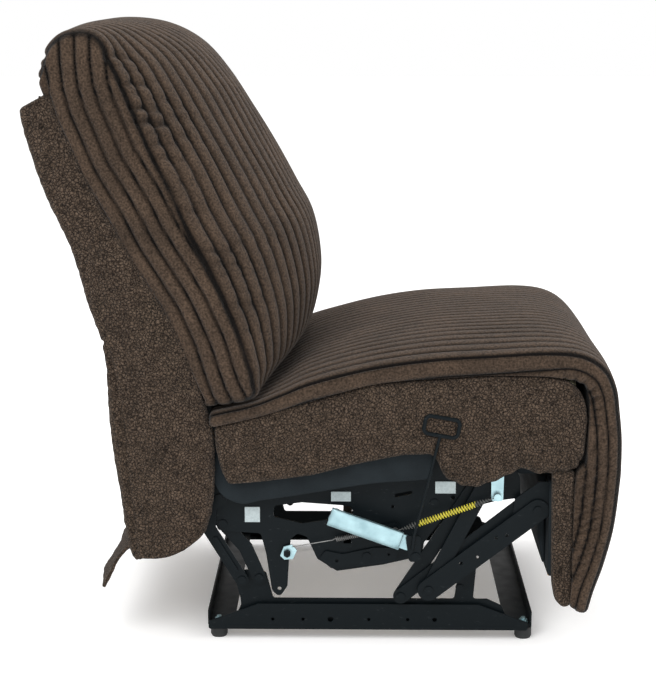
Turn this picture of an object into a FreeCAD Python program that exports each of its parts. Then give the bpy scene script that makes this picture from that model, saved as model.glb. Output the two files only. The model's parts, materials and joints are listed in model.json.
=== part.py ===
"""Armless reclining chair with a chaise footrest, as separate pieces on a moving steel mechanism.

Millimetres. +X is the front of the chair, +Y the sitter's left, +Z up. Shapes are drawn with x = 0
over the middle of the steel base and are moved at the end, so that the part's own zero lies on the
floor under the middle of the whole chair.
"""
import FreeCAD, Part
import math
import os

from FreeCAD import Vector

# Overall sizes
WIDTH = 635.0
REAR_X = -577.0
FRONT_X = 426.0
FLOOR_Z = 0.0
HALF_WIDTH = WIDTH / 2

# Steel plates stand side by side, each in its own layer counted outwards from the base plate
PLATE = 4.0
LAYER_GAP = 0.6
LAYER_STEP = PLATE + LAYER_GAP
BASE_PLATE_INSET = 68.7
BASE_PLATE_INNER_Y = HALF_WIDTH - BASE_PLATE_INSET
SWING_LAYER = 1
SEAT_LAYER = 2
INNER_LINK_LAYER = 3
INNER_ARM_LAYER = 4
OUTER_LINK_LAYER = 5
OUTER_ARM_LAYER = 6
LATCH_LAYER = 10
TRIGGER_LAYER = 11

# Pins and the holes they run in
PIN_R = 4.0
RUNNING_CLEARANCE = 0.06
OPEN_CLEARANCE = 0.6
BACK_LINK_CLEARANCE = 1.5
HEAD_R = 7.5
HEAD_T = 2.4
HEAD_GAP = 0.2
SHARP = 0.05

# Steel base
RAIL_TOP_Z = 67.0
RAIL_BOTTOM_Z = 20.0
RAIL_FRONT_X = 274.0
RAIL_REAR_X = -285.0
RAIL_FLAT_FRONT_X = 187.0
RAIL_FLAT_REAR_X = -197.0
RAIL_END_HEIGHT = 14.0
RAIL_PLATE = 3.0
RAIL_FLANGE = 32.0
ANGLE_WIDTH = 46.0
ANGLE_HEIGHT = 26.0
ANGLE_PLATE = 3.0
FOOT_R = 15.0
FOOT_HEIGHT = RAIL_BOTTOM_Z
FOOT_X = 268.0
FOOT_INSET = 79.5
FOOT_Y = HALF_WIDTH - FOOT_INSET
FOOT_BOLT_R = 4.0
BASE_PLATE_TOP_Z = 74.0

# Pivots of the glide under the seat: both swing links are alike, so the seat stays level
REAR_SWING_FOOT = (-195.5, 113.0)
FRONT_SWING_FOOT = (170.0, 152.0)
SWING_REACH = (-62.0, 100.0)
SWING_WIDTH = 24.0

# Pivots of the backrest
BACK_PIVOT = (-262.0, 262.0)
BACK_LINK_FOOT = (-225.0, 112.0)
BACK_LINK_BEND = (-281.0, 205.0)
BACK_LINK_HEAD = (-278.0, 253.6)
BACK_LINK_WIDTH = 23.0

# Pivots of the footrest linkage. Each link and its arm make a parallelogram with the footrest hinge
FOOTREST_HINGE = (402.0, 482.0)
OUTER_KNEE = (99.0, 100.0)
INNER_KNEE = (51.0, 85.0)
OUTER_TOE = (284.0, 245.0)
INNER_TOE = (255.0, 250.0)
LINK_WIDTH = 27.0
OUTER_ARM_WIDTH = 38.0
INNER_ARM_WIDTH = 26.0

# Pull handle, latch and spring
TRIGGER_PIVOT = (75.0, 169.0)
TRIGGER_PIN = (66.0, 190.0)
CRANK_PIVOT = (-42.0, 187.0)
CRANK_HORN = (-62.0, 232.0)
SPRING_HOOK = (40.0, 209.0)
SPRING_STUD = (214.0, 271.0)
HANGER_T = 1.8
SPRING_R = 5.6
SPRING_WIRE_R = 0.9
SPRING_TURNS = 34
SPRING_INSET = 29.5
SPRING_Y = HALF_WIDTH - SPRING_INSET
HOOK_CLEARANCE = 0.9
SPRING_LEG = 12.0
TURN_STEPS = 8
TORQUE_TUBE = 16.0
HANDLE_INSET = 3.9
HANDLE_Y = HALF_WIDTH - HANDLE_INSET
HANDLE_ROD_R = 2.6
HANDLE_RING_R = 3.4
HANDLE_FOOT = (75.0, 214.0)
HANDLE_RING_CENTRE = (116.0, 401.0)
HANDLE_RING_LENGTH = 65.0
HANDLE_RING_WIDTH = 38.0
HANDLE_RING_TILT = -10.0

# Wooden frames
RAIL_WOOD_T = 24.0
SEAT_WOOD_LOW_Z = 306.0
SEAT_WOOD_HIGH_Z = 392.0
SEAT_WOOD_REAR_X = -254.0
SEAT_WOOD_FRONT_X = 338.0
WOOD_GAP = 0.3
SIDE_BOARD_INSET = 34.5
SIDE_BOARD_INNER_Y = HALF_WIDTH - SIDE_BOARD_INSET
SIDE_BOARD_T = 8.5
BOARD_REAR_X = 304.0
BOARD_FRONT_X = 341.4
BOARD_LOW_Z = 128.0
BOARD_HIGH_Z = 298.0
SIDE_PANEL_T = 17.0
POST_INSET = 45.9
POST_INNER_Y = HALF_WIDTH - POST_INSET
POST_T = 28.0
SPRING_WIRE = 1.9

# Upholstery
RIB_HEIGHT = 5.0
SIDE_TUCK = 10.0
CROWN_POWER = 2.4
SHELL_T = 14.0
SHELL_INSET = 1.0
FOOT_CROWN = 5.0


def layer(number):
    """Inner and outer distance of one plate layer from the chair's middle plane."""
    inner = BASE_PLATE_INNER_Y + number * LAYER_STEP
    return inner, inner + PLATE


SEAT_PLATE_OUTER = layer(SEAT_LAYER)[1]


def shifted(point, reach):
    """Point moved by a reach in the side view."""
    return point[0] + reach[0], point[1] + reach[1]


def reach_between(start, end):
    """Reach from one side-view point to another."""
    return end[0] - start[0], end[1] - start[1]


REAR_SWING_HEAD = shifted(REAR_SWING_FOOT, SWING_REACH)
FRONT_SWING_HEAD = shifted(FRONT_SWING_FOOT, SWING_REACH)
OUTER_HIP = shifted(OUTER_KNEE, reach_between(OUTER_TOE, FOOTREST_HINGE))
INNER_HIP = shifted(INNER_KNEE, reach_between(INNER_TOE, FOOTREST_HINGE))


# Drawing helpers. Side-view outlines are (x, z) points, and solids are made on the right, at -Y

def at(point, y):
    """Point in space from a side-view point and a distance to the right of the middle plane."""
    return Vector(point[0], -y, point[1])


def rounded_wire(points, radius, y):
    """Closed side-view outline with every corner rounded as far as its two sides allow."""
    count = len(points)
    corners = []
    for i in range(count):
        before, corner, after = (at(points[j % count], y) for j in (i - 1, i, i + 1))
        to_before = before - corner
        to_after = after - corner
        half_angle = to_before.getAngle(to_after) / 2
        limit = 0.45 * min(to_before.Length, to_after.Length)
        setback = min(radius / math.tan(half_angle), limit)
        if setback < SHARP:
            corners.append((corner, None, corner))
            continue
        arc_radius = setback * math.tan(half_angle)
        depth = arc_radius / math.sin(half_angle) - arc_radius
        to_before.normalize()
        to_after.normalize()
        middle = corner + (to_before + to_after).normalize() * depth
        corners.append((corner + to_before * setback, middle, corner + to_after * setback))
    edges = []
    for i in range(count):
        start, middle, end = corners[i]
        if middle is not None:
            edges.append(Part.Arc(start, middle, end).toShape())
        edges.append(Part.makeLine(end, corners[(i + 1) % count][0]))
    return Part.Wire(edges)


def slab(points, inner, outer, radius=3.0):
    """Plate with rounded corners between two distances from the middle plane."""
    face = Part.Face(rounded_wire(points, radius, inner))
    return face.extrude(Vector(0, inner - outer, 0))


def rod_y(point, inner, outer, radius):
    """Round bar that runs across the chair."""
    return Part.makeCylinder(radius, outer - inner, at(point, inner), Vector(0, -1, 0))


def drilled(shape, holes, inner, outer):
    """Shape with round holes, each a side-view point and a radius."""
    for point, radius in holes:
        shape = shape.cut(rod_y(point, inner - 1, outer + 1, radius))
    return shape


def bar(start, end, width, inner, outer, bores=()):
    """Flat link with round ends about its two pivots, and its holes."""
    along = Vector(end[0] - start[0], 0, end[1] - start[1]).normalize()
    side = Vector(-along.z, 0, along.x) * (width / 2)
    first, last = at(start, inner), at(end, inner)
    tip = along * (width / 2)
    edges = [Part.makeLine(first + side, last + side),
             Part.Arc(last + side, last + tip, last - side).toShape(),
             Part.makeLine(last - side, first - side),
             Part.Arc(first - side, first - tip, first + side).toShape()]
    solid = Part.Face(Part.Wire(edges)).extrude(Vector(0, inner - outer, 0))
    return drilled(solid, bores, inner, outer)


def rivet(point, inner, outer, tail_gap=0.0, radius=PIN_R):
    """Pin with a head tight on its own plate inside, and a head that clears what turns outside."""
    shank = rod_y(point, inner - HEAD_T, outer + tail_gap + HEAD_T, radius)
    inner_head = rod_y(point, inner - HEAD_T, inner, HEAD_R)
    outer_head = rod_y(point, outer + tail_gap, outer + tail_gap + HEAD_T, HEAD_R)
    return shank.fuse([inner_head, outer_head]).removeSplitter()


def stud(point, inner, outer, radius=PIN_R, head_radius=HEAD_R):
    """Pin that stands out of a plate and ends in a head."""
    shank = rod_y(point, inner, outer, radius)
    head = rod_y(point, outer - HEAD_T, outer, head_radius)
    return shank.fuse(head).removeSplitter()


def mirrored(shape):
    """The same piece on the other side of the chair."""
    return shape.mirror(Vector(0, 0, 0), Vector(0, 1, 0))


def both(shape):
    """Group of one piece on each side."""
    return Part.makeCompound([shape, mirrored(shape)])


def block(x_low, x_high, y_low, y_high, z_low, z_high):
    """Box from its limits."""
    return Part.makeBox(x_high - x_low, y_high - y_low, z_high - z_low, Vector(x_low, y_low, z_low))


def between(a, b, share):
    """Number part of the way from a to b."""
    return a + (b - a) * share


def along_line(start, end, share):
    """Side-view point part of the way from one point to another."""
    return between(start[0], end[0], share), between(start[1], end[1], share)


running = PIN_R + RUNNING_CLEARANCE
loose = PIN_R + OPEN_CLEARANCE


# Steel base

def base_rail():
    """Long side rail: a stamped plate with sloped ends and a flange turned in under it."""
    inner, outer = layer(SEAT_LAYER)
    outer = inner + PLATE
    face_inner = outer - RAIL_PLATE
    outline = [(RAIL_REAR_X, RAIL_BOTTOM_Z), (RAIL_FRONT_X, RAIL_BOTTOM_Z),
               (RAIL_FRONT_X, RAIL_BOTTOM_Z + RAIL_END_HEIGHT), (RAIL_FLAT_FRONT_X, RAIL_TOP_Z),
               (RAIL_FLAT_REAR_X, RAIL_TOP_Z), (RAIL_REAR_X, RAIL_BOTTOM_Z + RAIL_END_HEIGHT)]
    web = slab(outline, face_inner, outer, 4.0)
    flange = block(RAIL_REAR_X + 2, RAIL_FRONT_X - 2, -face_inner, -(face_inner - RAIL_FLANGE),
                   RAIL_BOTTOM_Z, RAIL_BOTTOM_Z + RAIL_PLATE)
    rail = web.fuse(flange).removeSplitter()
    hole_z = RAIL_BOTTOM_Z + 0.4 * (RAIL_TOP_Z - RAIL_BOTTOM_Z)
    holes = [((x, hole_z), r) for x, r in ((-172, 3), (-119, 3), (-71, 5), (-4, 3), (64, 3), (111, 4))]
    rail = drilled(rail, holes, face_inner, outer)
    for x in (-FOOT_X, FOOT_X):
        rail = rail.cut(Part.makeCylinder(FOOT_BOLT_R + 0.2, 20, Vector(x, -FOOT_Y, RAIL_BOTTOM_Z - 5)))
    return rail


def base_plate():
    """Inner base plate: a long low web with a stand at each end that carries the swing links."""
    inner, outer = layer(0)
    rear, front, link_foot = REAR_SWING_FOOT, FRONT_SWING_FOOT, BACK_LINK_FOOT
    low = RAIL_BOTTOM_Z + RAIL_PLATE + 0.1
    outline = [(RAIL_REAR_X + 40, low), (RAIL_FRONT_X - 30, low), (228, 62), (203, BASE_PLATE_TOP_Z),
               (178, BASE_PLATE_TOP_Z), (front[0] + 14, front[1] - 4), (front[0] + 6, front[1] + 13),
               (front[0] - 10, front[1] + 11), (front[0] - 15, front[1] - 8), (145, BASE_PLATE_TOP_Z),
               (rear[0] + 24, BASE_PLATE_TOP_Z), (rear[0] + 12, rear[1] + 8), (rear[0], rear[1] + 13),
               (link_foot[0], link_foot[1] + 13), (link_foot[0] - 13, link_foot[1]),
               (link_foot[0] - 4, BASE_PLATE_TOP_Z), (-228, 62)]
    plate = slab(outline, inner, outer, 5.0)
    holes = [(rear, PIN_R + RUNNING_CLEARANCE), (front, running), (link_foot, running), ((155, 94), 3.0)]
    return drilled(plate, holes, inner, outer)


def cross_members():
    """Steel angles across the front and the rear end of the base."""
    return Part.makeCompound([cross_member(RAIL_FRONT_X + 8, -1), cross_member(RAIL_REAR_X - 2, 1)])


def cross_member(end_x, inwards):
    """Steel angle across one end of the base, lying on the rails' flanges."""
    reach = layer(0)[0] - 1.0
    low = RAIL_BOTTOM_Z + RAIL_PLATE
    near, far = sorted((end_x, end_x + inwards * ANGLE_WIDTH))
    flat = block(near, far, -reach, reach, low, low + ANGLE_PLATE)
    near, far = sorted((end_x, end_x + inwards * ANGLE_PLATE))
    upright = block(near, far, -reach, reach, low, low + ANGLE_HEIGHT)
    angle = flat.fuse(upright).removeSplitter()
    for side in (-1, 1):
        place = Vector(math.copysign(FOOT_X, end_x), side * FOOT_Y, low - 5)
        hole = Part.makeCylinder(FOOT_BOLT_R + 0.2, 20, place)
        angle = angle.cut(hole)
    return angle


def foot_places():
    """Floor positions of the four feet."""
    return [(x, y) for x in (-FOOT_X, FOOT_X) for y in (-FOOT_Y, FOOT_Y)]


def floor_feet():
    """Four moulded discs under the base, each with a bolt hole in its top."""
    feet = []
    for x, y in foot_places():
        foot = Part.makeCone(FOOT_R - 2, FOOT_R, 4, Vector(x, y, FLOOR_Z))
        foot = foot.fuse(Part.makeCylinder(FOOT_R, FOOT_HEIGHT - 4,
                                           Vector(x, y, FLOOR_Z + 4))).removeSplitter()
        feet.append(foot.cut(Part.makeCylinder(FOOT_BOLT_R + 0.2, FOOT_HEIGHT, Vector(x, y, FLOOR_Z + 6))))
    return Part.makeCompound(feet)


def foot_bolts():
    """Stud, washer and nut that hold each foot to the flange and the angle above it."""
    nut_low = RAIL_BOTTOM_Z + RAIL_PLATE + ANGLE_PLATE
    bolts = []
    for x, y in foot_places():
        shank = Part.makeCylinder(FOOT_BOLT_R, 30, Vector(x, y, FLOOR_Z + 6.2))
        washer = Part.makeCylinder(8.5, 1.5, Vector(x, y, nut_low))
        corners = [Vector(x + 7.5 * math.cos(math.radians(a)), y + 7.5 * math.sin(math.radians(a)),
                          nut_low + 1.5)
                   for a in range(0, 361, 60)]
        nut = Part.Face(Part.makePolygon(corners)).extrude(Vector(0, 0, 5))
        bolts.append(shank.fuse([washer, nut]).removeSplitter())
    return Part.makeCompound(bolts)


def base_pins():
    """Pins of the base: two swing links and the back link on each side."""
    pins = [rivet(REAR_SWING_FOOT, layer(0)[0], layer(SWING_LAYER)[1], HEAD_GAP),
            rivet(FRONT_SWING_FOOT, layer(0)[0], layer(SWING_LAYER)[1], HEAD_GAP),
            rivet(BACK_LINK_FOOT, layer(0)[0], layer(INNER_LINK_LAYER)[1], HEAD_GAP),
            rivet((155, 94), layer(0)[0], layer(0)[1], 0.0, 2.9)]
    return Part.makeCompound(pins + [mirrored(pin) for pin in pins])


# Links between the base, the seat and the back

def rear_swing_link():
    """Rear swing link, bent like a boomerang about its middle."""
    inner, outer = layer(SWING_LAYER)
    middle = (between(REAR_SWING_FOOT[0], REAR_SWING_HEAD[0], 0.5) + 8,
              between(REAR_SWING_FOOT[1], REAR_SWING_HEAD[1], 0.5) + 5)
    lower = bar(REAR_SWING_FOOT, middle, SWING_WIDTH, inner, outer)
    upper = bar(middle, REAR_SWING_HEAD, SWING_WIDTH, inner, outer)
    link = lower.fuse(upper).removeSplitter()
    return drilled(link, [(REAR_SWING_FOOT, running), (REAR_SWING_HEAD, running)], inner, outer)


def front_swing_link():
    """Front swing link; its upper hole is the loose end of the glide's loop."""
    bores = [(FRONT_SWING_FOOT, running), (FRONT_SWING_HEAD, loose)]
    return bar(FRONT_SWING_FOOT, FRONT_SWING_HEAD, SWING_WIDTH, *layer(SWING_LAYER), bores)


def back_link():
    """Link from the base to the back bracket, stamped with a rib along its middle."""
    inner, outer = layer(INNER_LINK_LAYER)
    lower = bar(BACK_LINK_FOOT, BACK_LINK_BEND, BACK_LINK_WIDTH, inner, outer)
    upper = bar(BACK_LINK_BEND, BACK_LINK_HEAD, BACK_LINK_WIDTH, inner, outer)
    bores = [(BACK_LINK_FOOT, running), (BACK_LINK_HEAD, PIN_R + BACK_LINK_CLEARANCE)]
    link = drilled(lower.fuse(upper).removeSplitter(), bores, inner, outer)
    rib_start = along_line(BACK_LINK_FOOT, BACK_LINK_BEND, 0.2)
    rib_end = along_line(BACK_LINK_FOOT, BACK_LINK_BEND, 0.8)
    rib = bar(rib_start, rib_end, 9.0, outer, outer + 3.0)
    return link.fuse(rib).removeSplitter()


# Plates of the seat

def seat_plate():
    """Main side plate of the mechanism, screwed to the seat's wooden rail."""
    inner, outer = layer(SEAT_LAYER)
    back, rear, hip, inner_hip = BACK_PIVOT, REAR_SWING_HEAD, OUTER_HIP, INNER_HIP
    outline = [(back[0] - 12, back[1] + 2), (back[0] - 8, back[1] + 13), (-150, 300), (0, 340),
               (hip[0] - 20, hip[1] + 16), (hip[0] + 10, hip[1] + 15), (hip[0] + 16, hip[1] - 4),
               (SPRING_STUD[0] + 40, 300), (SPRING_STUD[0] + 42, 262), (SPRING_STUD[0] + 4, 257),
               (130, 234), (TRIGGER_PIVOT[0] + 16, TRIGGER_PIVOT[1] + 12),
               (TRIGGER_PIVOT[0] + 12, TRIGGER_PIVOT[1] - 13), (20, 140), (-60, 128), (-94, 150),
               (-112, 190), (-128, 196), (-140, 186), (-143, 150), (-146, 100), (-160, 79), (-173, 92),
               (-183, 160), (-192, 196), (rear[0] + 14, rear[1] - 14), (rear[0] - 8, rear[1] - 12),
               (rear[0] - 13, rear[1] + 2)]
    plate = slab(outline, inner, outer, 7.0)
    window = slab([(-170, 226), (-120, 214), (-30, 228), (-36, 246), (-120, 252), (-168, 246)],
                  inner - 1, outer + 1, 6.0)
    slot = slab([(40, 262), (70, 268), (69, 274), (39, 268)], inner - 1, outer + 1, 2.0)
    plate = plate.cut(window).cut(slot)
    holes = [(back, running), (rear, running), (FRONT_SWING_HEAD, running), (hip, running),
             (inner_hip, running), (TRIGGER_PIVOT, running), (CRANK_PIVOT, TORQUE_TUBE * 0.7072 + 0.6),
             ((-160, 95), 3.5), ((36, 245), 3.0), ((20, 200), 3.0), ((-8, 156), running), ((9, 150), 3.0),
             ((-200, 262), 4.0), ((190, 300), 3.0), ((140, 262), 4.0), ((150, 300), 3.0)]
    return drilled(plate, holes, inner, outer)


def lower_plate():
    """Stiffening plate riveted outside the main plate, below the latch."""
    inner, outer = SEAT_PLATE_OUTER, SEAT_PLATE_OUTER + PLATE
    outline = [(-90, 152), (-70, 134), (20, 144), (44, 150), (44, 172), (4, 172), (-50, 160), (-80, 166)]
    plate = slab(outline, inner, outer, 5.0)
    return drilled(plate, [((-8, 156), running), ((30, 160), 2.5), ((-60, 148), 3.0)], inner, outer)




def seat_pins():
    """Pins that are fast in the seat's plates."""
    seat_inner = layer(SEAT_LAYER)[0]
    pins = [rivet(BACK_PIVOT, seat_inner, layer(INNER_ARM_LAYER)[1], HEAD_GAP),
            stud(OUTER_HIP, seat_inner, layer(OUTER_LINK_LAYER)[1] + HEAD_GAP + HEAD_T),
            stud(INNER_HIP, seat_inner, layer(INNER_LINK_LAYER)[1] + HEAD_GAP + HEAD_T),
            rivet((-8, 156), seat_inner, SEAT_PLATE_OUTER + PLATE)]
    for head in (REAR_SWING_HEAD, FRONT_SWING_HEAD):
        shank = rod_y(head, layer(SWING_LAYER)[0] - HEAD_GAP - HEAD_T, SEAT_PLATE_OUTER + HEAD_T, PIN_R)
        heads = [rod_y(head, SEAT_PLATE_OUTER, SEAT_PLATE_OUTER + HEAD_T, HEAD_R),
                 rod_y(head, layer(SWING_LAYER)[0] - HEAD_GAP - HEAD_T, layer(SWING_LAYER)[0] - HEAD_GAP,
                       HEAD_R)]
        pins.append(shank.fuse(heads).removeSplitter())
    return Part.makeCompound(pins + [mirrored(pin) for pin in pins] + [trigger_post()])


def spring_hanger():
    """Strip that hangs from the side board and ends in the stud for the drive spring."""
    inner, outer = SIDE_BOARD_INNER_Y - HANGER_T, SIDE_BOARD_INNER_Y
    x, z = SPRING_STUD
    strip = slab([(x - 10, z - 9), (x + 10, z - 9), (x + 12, 372), (x - 12, 372)], inner, outer, 5.0)
    return strip.fuse(stud(SPRING_STUD, inner, SPRING_Y + 5, PIN_R, HEAD_R - 1)).removeSplitter()


def trigger_post():
    """Shouldered post that carries the trigger lever on the right-hand plate."""
    inner, outer = layer(SEAT_LAYER)[0], layer(TRIGGER_LAYER)[0] - 0.3
    spacer = rod_y(TRIGGER_PIVOT, SEAT_PLATE_OUTER, outer, PIN_R + 2.5)
    pin = rod_y(TRIGGER_PIVOT, inner, layer(TRIGGER_LAYER)[1] + HEAD_GAP + HEAD_T, PIN_R)
    head = rod_y(TRIGGER_PIVOT, layer(TRIGGER_LAYER)[1] + HEAD_GAP,
                 layer(TRIGGER_LAYER)[1] + HEAD_GAP + HEAD_T, HEAD_R)
    return spacer.fuse([pin, head]).removeSplitter()


def cross_tube():
    """Square tube that ties the two seat plates together at the front."""
    reach = layer(SEAT_LAYER)[0]
    centre = (SPRING_STUD[0] + 24, 281)
    outer = block(centre[0] - 13, centre[0] + 13, -reach, reach, centre[1] - 13, centre[1] + 13)
    bore = block(centre[0] - 11, centre[0] + 11, -reach, reach, centre[1] - 11, centre[1] + 11)
    return outer.cut(bore)


# Linkage of the footrest, made on the right

def outer_link():
    """Hanging link outside, with the pin of its knee."""
    inner, outer = layer(OUTER_LINK_LAYER)
    link = bar(OUTER_HIP, OUTER_KNEE, LINK_WIDTH, inner, outer, [(OUTER_HIP, running), (OUTER_KNEE, PIN_R)])
    pin = stud(OUTER_KNEE, inner, layer(OUTER_ARM_LAYER)[1] + HEAD_GAP + HEAD_T)
    return link.fuse(pin).removeSplitter()


def inner_link():
    """Hanging link inside, with the pin of its knee."""
    inner, outer = layer(INNER_LINK_LAYER)
    link = bar(INNER_HIP, INNER_KNEE, LINK_WIDTH - 2, inner, outer,
               [(INNER_HIP, running), (INNER_KNEE, PIN_R)])
    pin = stud(INNER_KNEE, inner, layer(INNER_ARM_LAYER)[1] + HEAD_GAP + HEAD_T)
    return link.fuse(pin).removeSplitter()


def outer_arm():
    """Long outer arm from the knee to the footrest bracket."""
    holes = [(OUTER_KNEE, running), (OUTER_TOE, loose)]
    for share, offset in ((0.3, 6), (0.45, -5), (0.62, 6), (0.72, -4)):
        x = between(OUTER_KNEE[0], OUTER_TOE[0], share)
        holes.append(((x, between(OUTER_KNEE[1], OUTER_TOE[1], share) + offset), 3.0))
    return bar(OUTER_KNEE, OUTER_TOE, OUTER_ARM_WIDTH, *layer(OUTER_ARM_LAYER), holes)


def inner_arm():
    """Inner arm from its knee to the footrest bracket."""
    return bar(INNER_KNEE, INNER_TOE, INNER_ARM_WIDTH, *layer(INNER_ARM_LAYER),
               [(INNER_KNEE, running), (INNER_TOE, loose)])


def footrest_bracket():
    """Angle bracket screwed to the back of the footrest board, with the pins for both arms."""
    inner, outer = layer(OUTER_LINK_LAYER)
    board = BOARD_REAR_X - WOOD_GAP
    web = slab([(INNER_TOE[0] - 13, INNER_TOE[1] - 12), (OUTER_TOE[0], OUTER_TOE[1] - 16),
                (board, OUTER_TOE[1] - 14), (board, OUTER_TOE[1] + 50), (board - 18, OUTER_TOE[1] + 50),
                (INNER_TOE[0] - 10, INNER_TOE[1] + 14)], inner, outer, 4.0)
    flange = block(board - 3, board, -outer, -(inner - 30), OUTER_TOE[1] - 10, OUTER_TOE[1] + 46)
    bracket = web.fuse(flange).removeSplitter()
    outer_pin = stud(OUTER_TOE, inner, layer(OUTER_ARM_LAYER)[1] + HEAD_GAP + HEAD_T)
    arm_inner = layer(INNER_ARM_LAYER)[0]
    inner_pin = rod_y(INNER_TOE, arm_inner - HEAD_GAP, outer, PIN_R)
    return bracket.fuse([outer_pin, inner_pin]).removeSplitter()


# Pull handle and latch

def trigger_lever():
    """Small stamped lever that the handle's rod is riveted to."""
    inner, outer = layer(TRIGGER_LAYER)
    outline = [(TRIGGER_PIVOT[0] - 11, TRIGGER_PIVOT[1] - 9), (TRIGGER_PIVOT[0] + 9, TRIGGER_PIVOT[1] - 10),
               (TRIGGER_PIVOT[0] + 8, HANDLE_FOOT[1] - 8), (TRIGGER_PIN[0] - 9, HANDLE_FOOT[1] - 8)]
    plate = slab(outline, inner, outer, 5.0)
    plate = drilled(plate, [(TRIGGER_PIVOT, running)], inner, outer)
    pin_low = layer(LATCH_LAYER)[0] - HEAD_GAP - HEAD_T
    pin = rod_y(TRIGGER_PIN, pin_low, outer, PIN_R)
    head = rod_y(TRIGGER_PIN, pin_low, pin_low + HEAD_T, HEAD_R - 1)
    return plate.fuse([pin, head]).removeSplitter()


def tube_along(points, radius, bend):
    """Round rod through points, with an arc at each inner point."""
    edges = []
    cursor = points[0]
    for i in range(1, len(points) - 1):
        back_dir = (points[i - 1] - points[i]).normalize()
        next_dir = (points[i + 1] - points[i]).normalize()
        half = back_dir.getAngle(next_dir) / 2
        setback = bend / math.tan(half)
        start = points[i] + back_dir * setback
        end = points[i] + next_dir * setback
        middle = points[i] + (back_dir + next_dir).normalize() * (bend / math.sin(half) - bend)
        edges.append(Part.makeLine(cursor, start))
        edges.append(Part.Arc(start, middle, end).toShape())
        cursor = end
    edges.append(Part.makeLine(cursor, points[-1]))
    path = Part.Wire(edges)
    along = (points[1] - points[0]).normalize()
    ring = Part.Wire(Part.Circle(points[0], along, radius).toShape())
    return path.makePipeShell([ring], True, False)


def pull_handle():
    """Wire handle: a rod up the outside of the seat with a closed ring to pull."""
    lever_outer = layer(TRIGGER_LAYER)[1]
    foot_low = Vector(HANDLE_FOOT[0] - 6, -(lever_outer + HANDLE_ROD_R), HANDLE_FOOT[1] - 32)
    foot_high = Vector(HANDLE_FOOT[0] - 3, -(lever_outer + HANDLE_ROD_R), HANDLE_FOOT[1] - 6)
    elbow = Vector(HANDLE_FOOT[0] + 3, -HANDLE_Y, HANDLE_FOOT[1] + 22)
    ring_x = (HANDLE_RING_LENGTH - 2 * HANDLE_RING_R) / 2
    ring_z = (HANDLE_RING_WIDTH - 2 * HANDLE_RING_R) / 2
    corner = 9.0
    ring = rounded_ring(ring_x, ring_z, corner)
    ring.rotate(Vector(0, 0, 0), Vector(0, -1, 0), HANDLE_RING_TILT)
    ring.translate(at(HANDLE_RING_CENTRE, HANDLE_Y))
    tilt = math.radians(HANDLE_RING_TILT)
    neck = at(shifted(HANDLE_RING_CENTRE, (ring_z * math.sin(tilt), -ring_z * math.cos(tilt))), HANDLE_Y)
    rod = tube_along([foot_low, foot_high, elbow, neck], HANDLE_ROD_R, 14.0)
    return rod.fuse(ring).removeSplitter()


def rounded_ring(half_x, half_z, corner):
    """Closed ring of round wire in the side view, as straight bars and quarter bends."""
    pieces = []
    for side in (-1, 1):
        pieces.append(Part.makeCylinder(HANDLE_RING_R, 2 * (half_x - corner),
                                        Vector(corner - half_x, 0, side * half_z), Vector(1, 0, 0)))
        pieces.append(Part.makeCylinder(HANDLE_RING_R, 2 * (half_z - corner),
                                        Vector(side * half_x, 0, corner - half_z), Vector(0, 0, 1)))
    for turn, (sx, sz) in enumerate(((1, 1), (-1, 1), (-1, -1), (1, -1))):
        start = Part.makeTorus(corner, HANDLE_RING_R, Vector(0, 0, 0), Vector(0, -1, 0), -180, 180, 90)
        start.rotate(Vector(0, 0, 0), Vector(0, -1, 0), quarter_start(start, turn))
        start.translate(Vector(sx * (half_x - corner), 0, sz * (half_z - corner)))
        pieces.append(start)
    ring = pieces[0].fuse(pieces[1:])
    return ring.removeSplitter()


def quarter_start(quarter, turn):
    """Angle that brings a quarter bend, as it was made, into the given corner."""
    centre = quarter.BoundBox.Center
    made = math.degrees(math.atan2(centre.z, centre.x))
    return 45 + 90 * turn - made


def latch_link():
    """Plated flat link from the trigger lever to the latch crank."""
    inner, outer = layer(LATCH_LAYER)
    bores = [(TRIGGER_PIN, running), (CRANK_HORN, loose)]
    return bar(TRIGGER_PIN, CRANK_HORN, 25.0, inner, outer, bores)


def latch_crank(with_post):
    """Bell crank on the torque tube: one arm for the latch link, one for the spring's hook."""
    inner, outer = layer(INNER_LINK_LAYER)
    horn = bar(CRANK_PIVOT, CRANK_HORN, 20.0, inner, outer)
    arm = bar(CRANK_PIVOT, SPRING_HOOK, 18.0, inner, outer)
    hub = rod_y(CRANK_PIVOT, inner, outer, 15.0)
    crank = hub.fuse([horn, arm, stud(SPRING_HOOK, inner, SPRING_Y + 5, PIN_R, HEAD_R - 1)])
    if with_post:
        post = rod_y(CRANK_HORN, inner, layer(LATCH_LAYER)[0] - 0.3, PIN_R + 2.5)
        pin = rod_y(CRANK_HORN, inner, layer(LATCH_LAYER)[1] + HEAD_GAP + HEAD_T, PIN_R)
        head = rod_y(CRANK_HORN, layer(LATCH_LAYER)[1] + HEAD_GAP,
                     layer(LATCH_LAYER)[1] + HEAD_GAP + HEAD_T, HEAD_R)
        crank = crank.fuse([post, pin, head])
    half = TORQUE_TUBE / 2 + 0.05
    square = block(CRANK_PIVOT[0] - half, CRANK_PIVOT[0] + half, -outer - 1, -inner + 1,
                   CRANK_PIVOT[1] - half, CRANK_PIVOT[1] + half)
    return crank.cut(square).removeSplitter()


def torque_tube():
    """Square tube across the chair that joins the two latch cranks."""
    reach = layer(INNER_LINK_LAYER)[1] + 3
    half = TORQUE_TUBE / 2
    bore = half - 1.6
    x, z = CRANK_PIVOT
    tube = block(x - half, x + half, -reach, reach, z - half, z + half)
    return tube.cut(block(x - bore, x + bore, -reach, reach, z - bore, z + bore))


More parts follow.
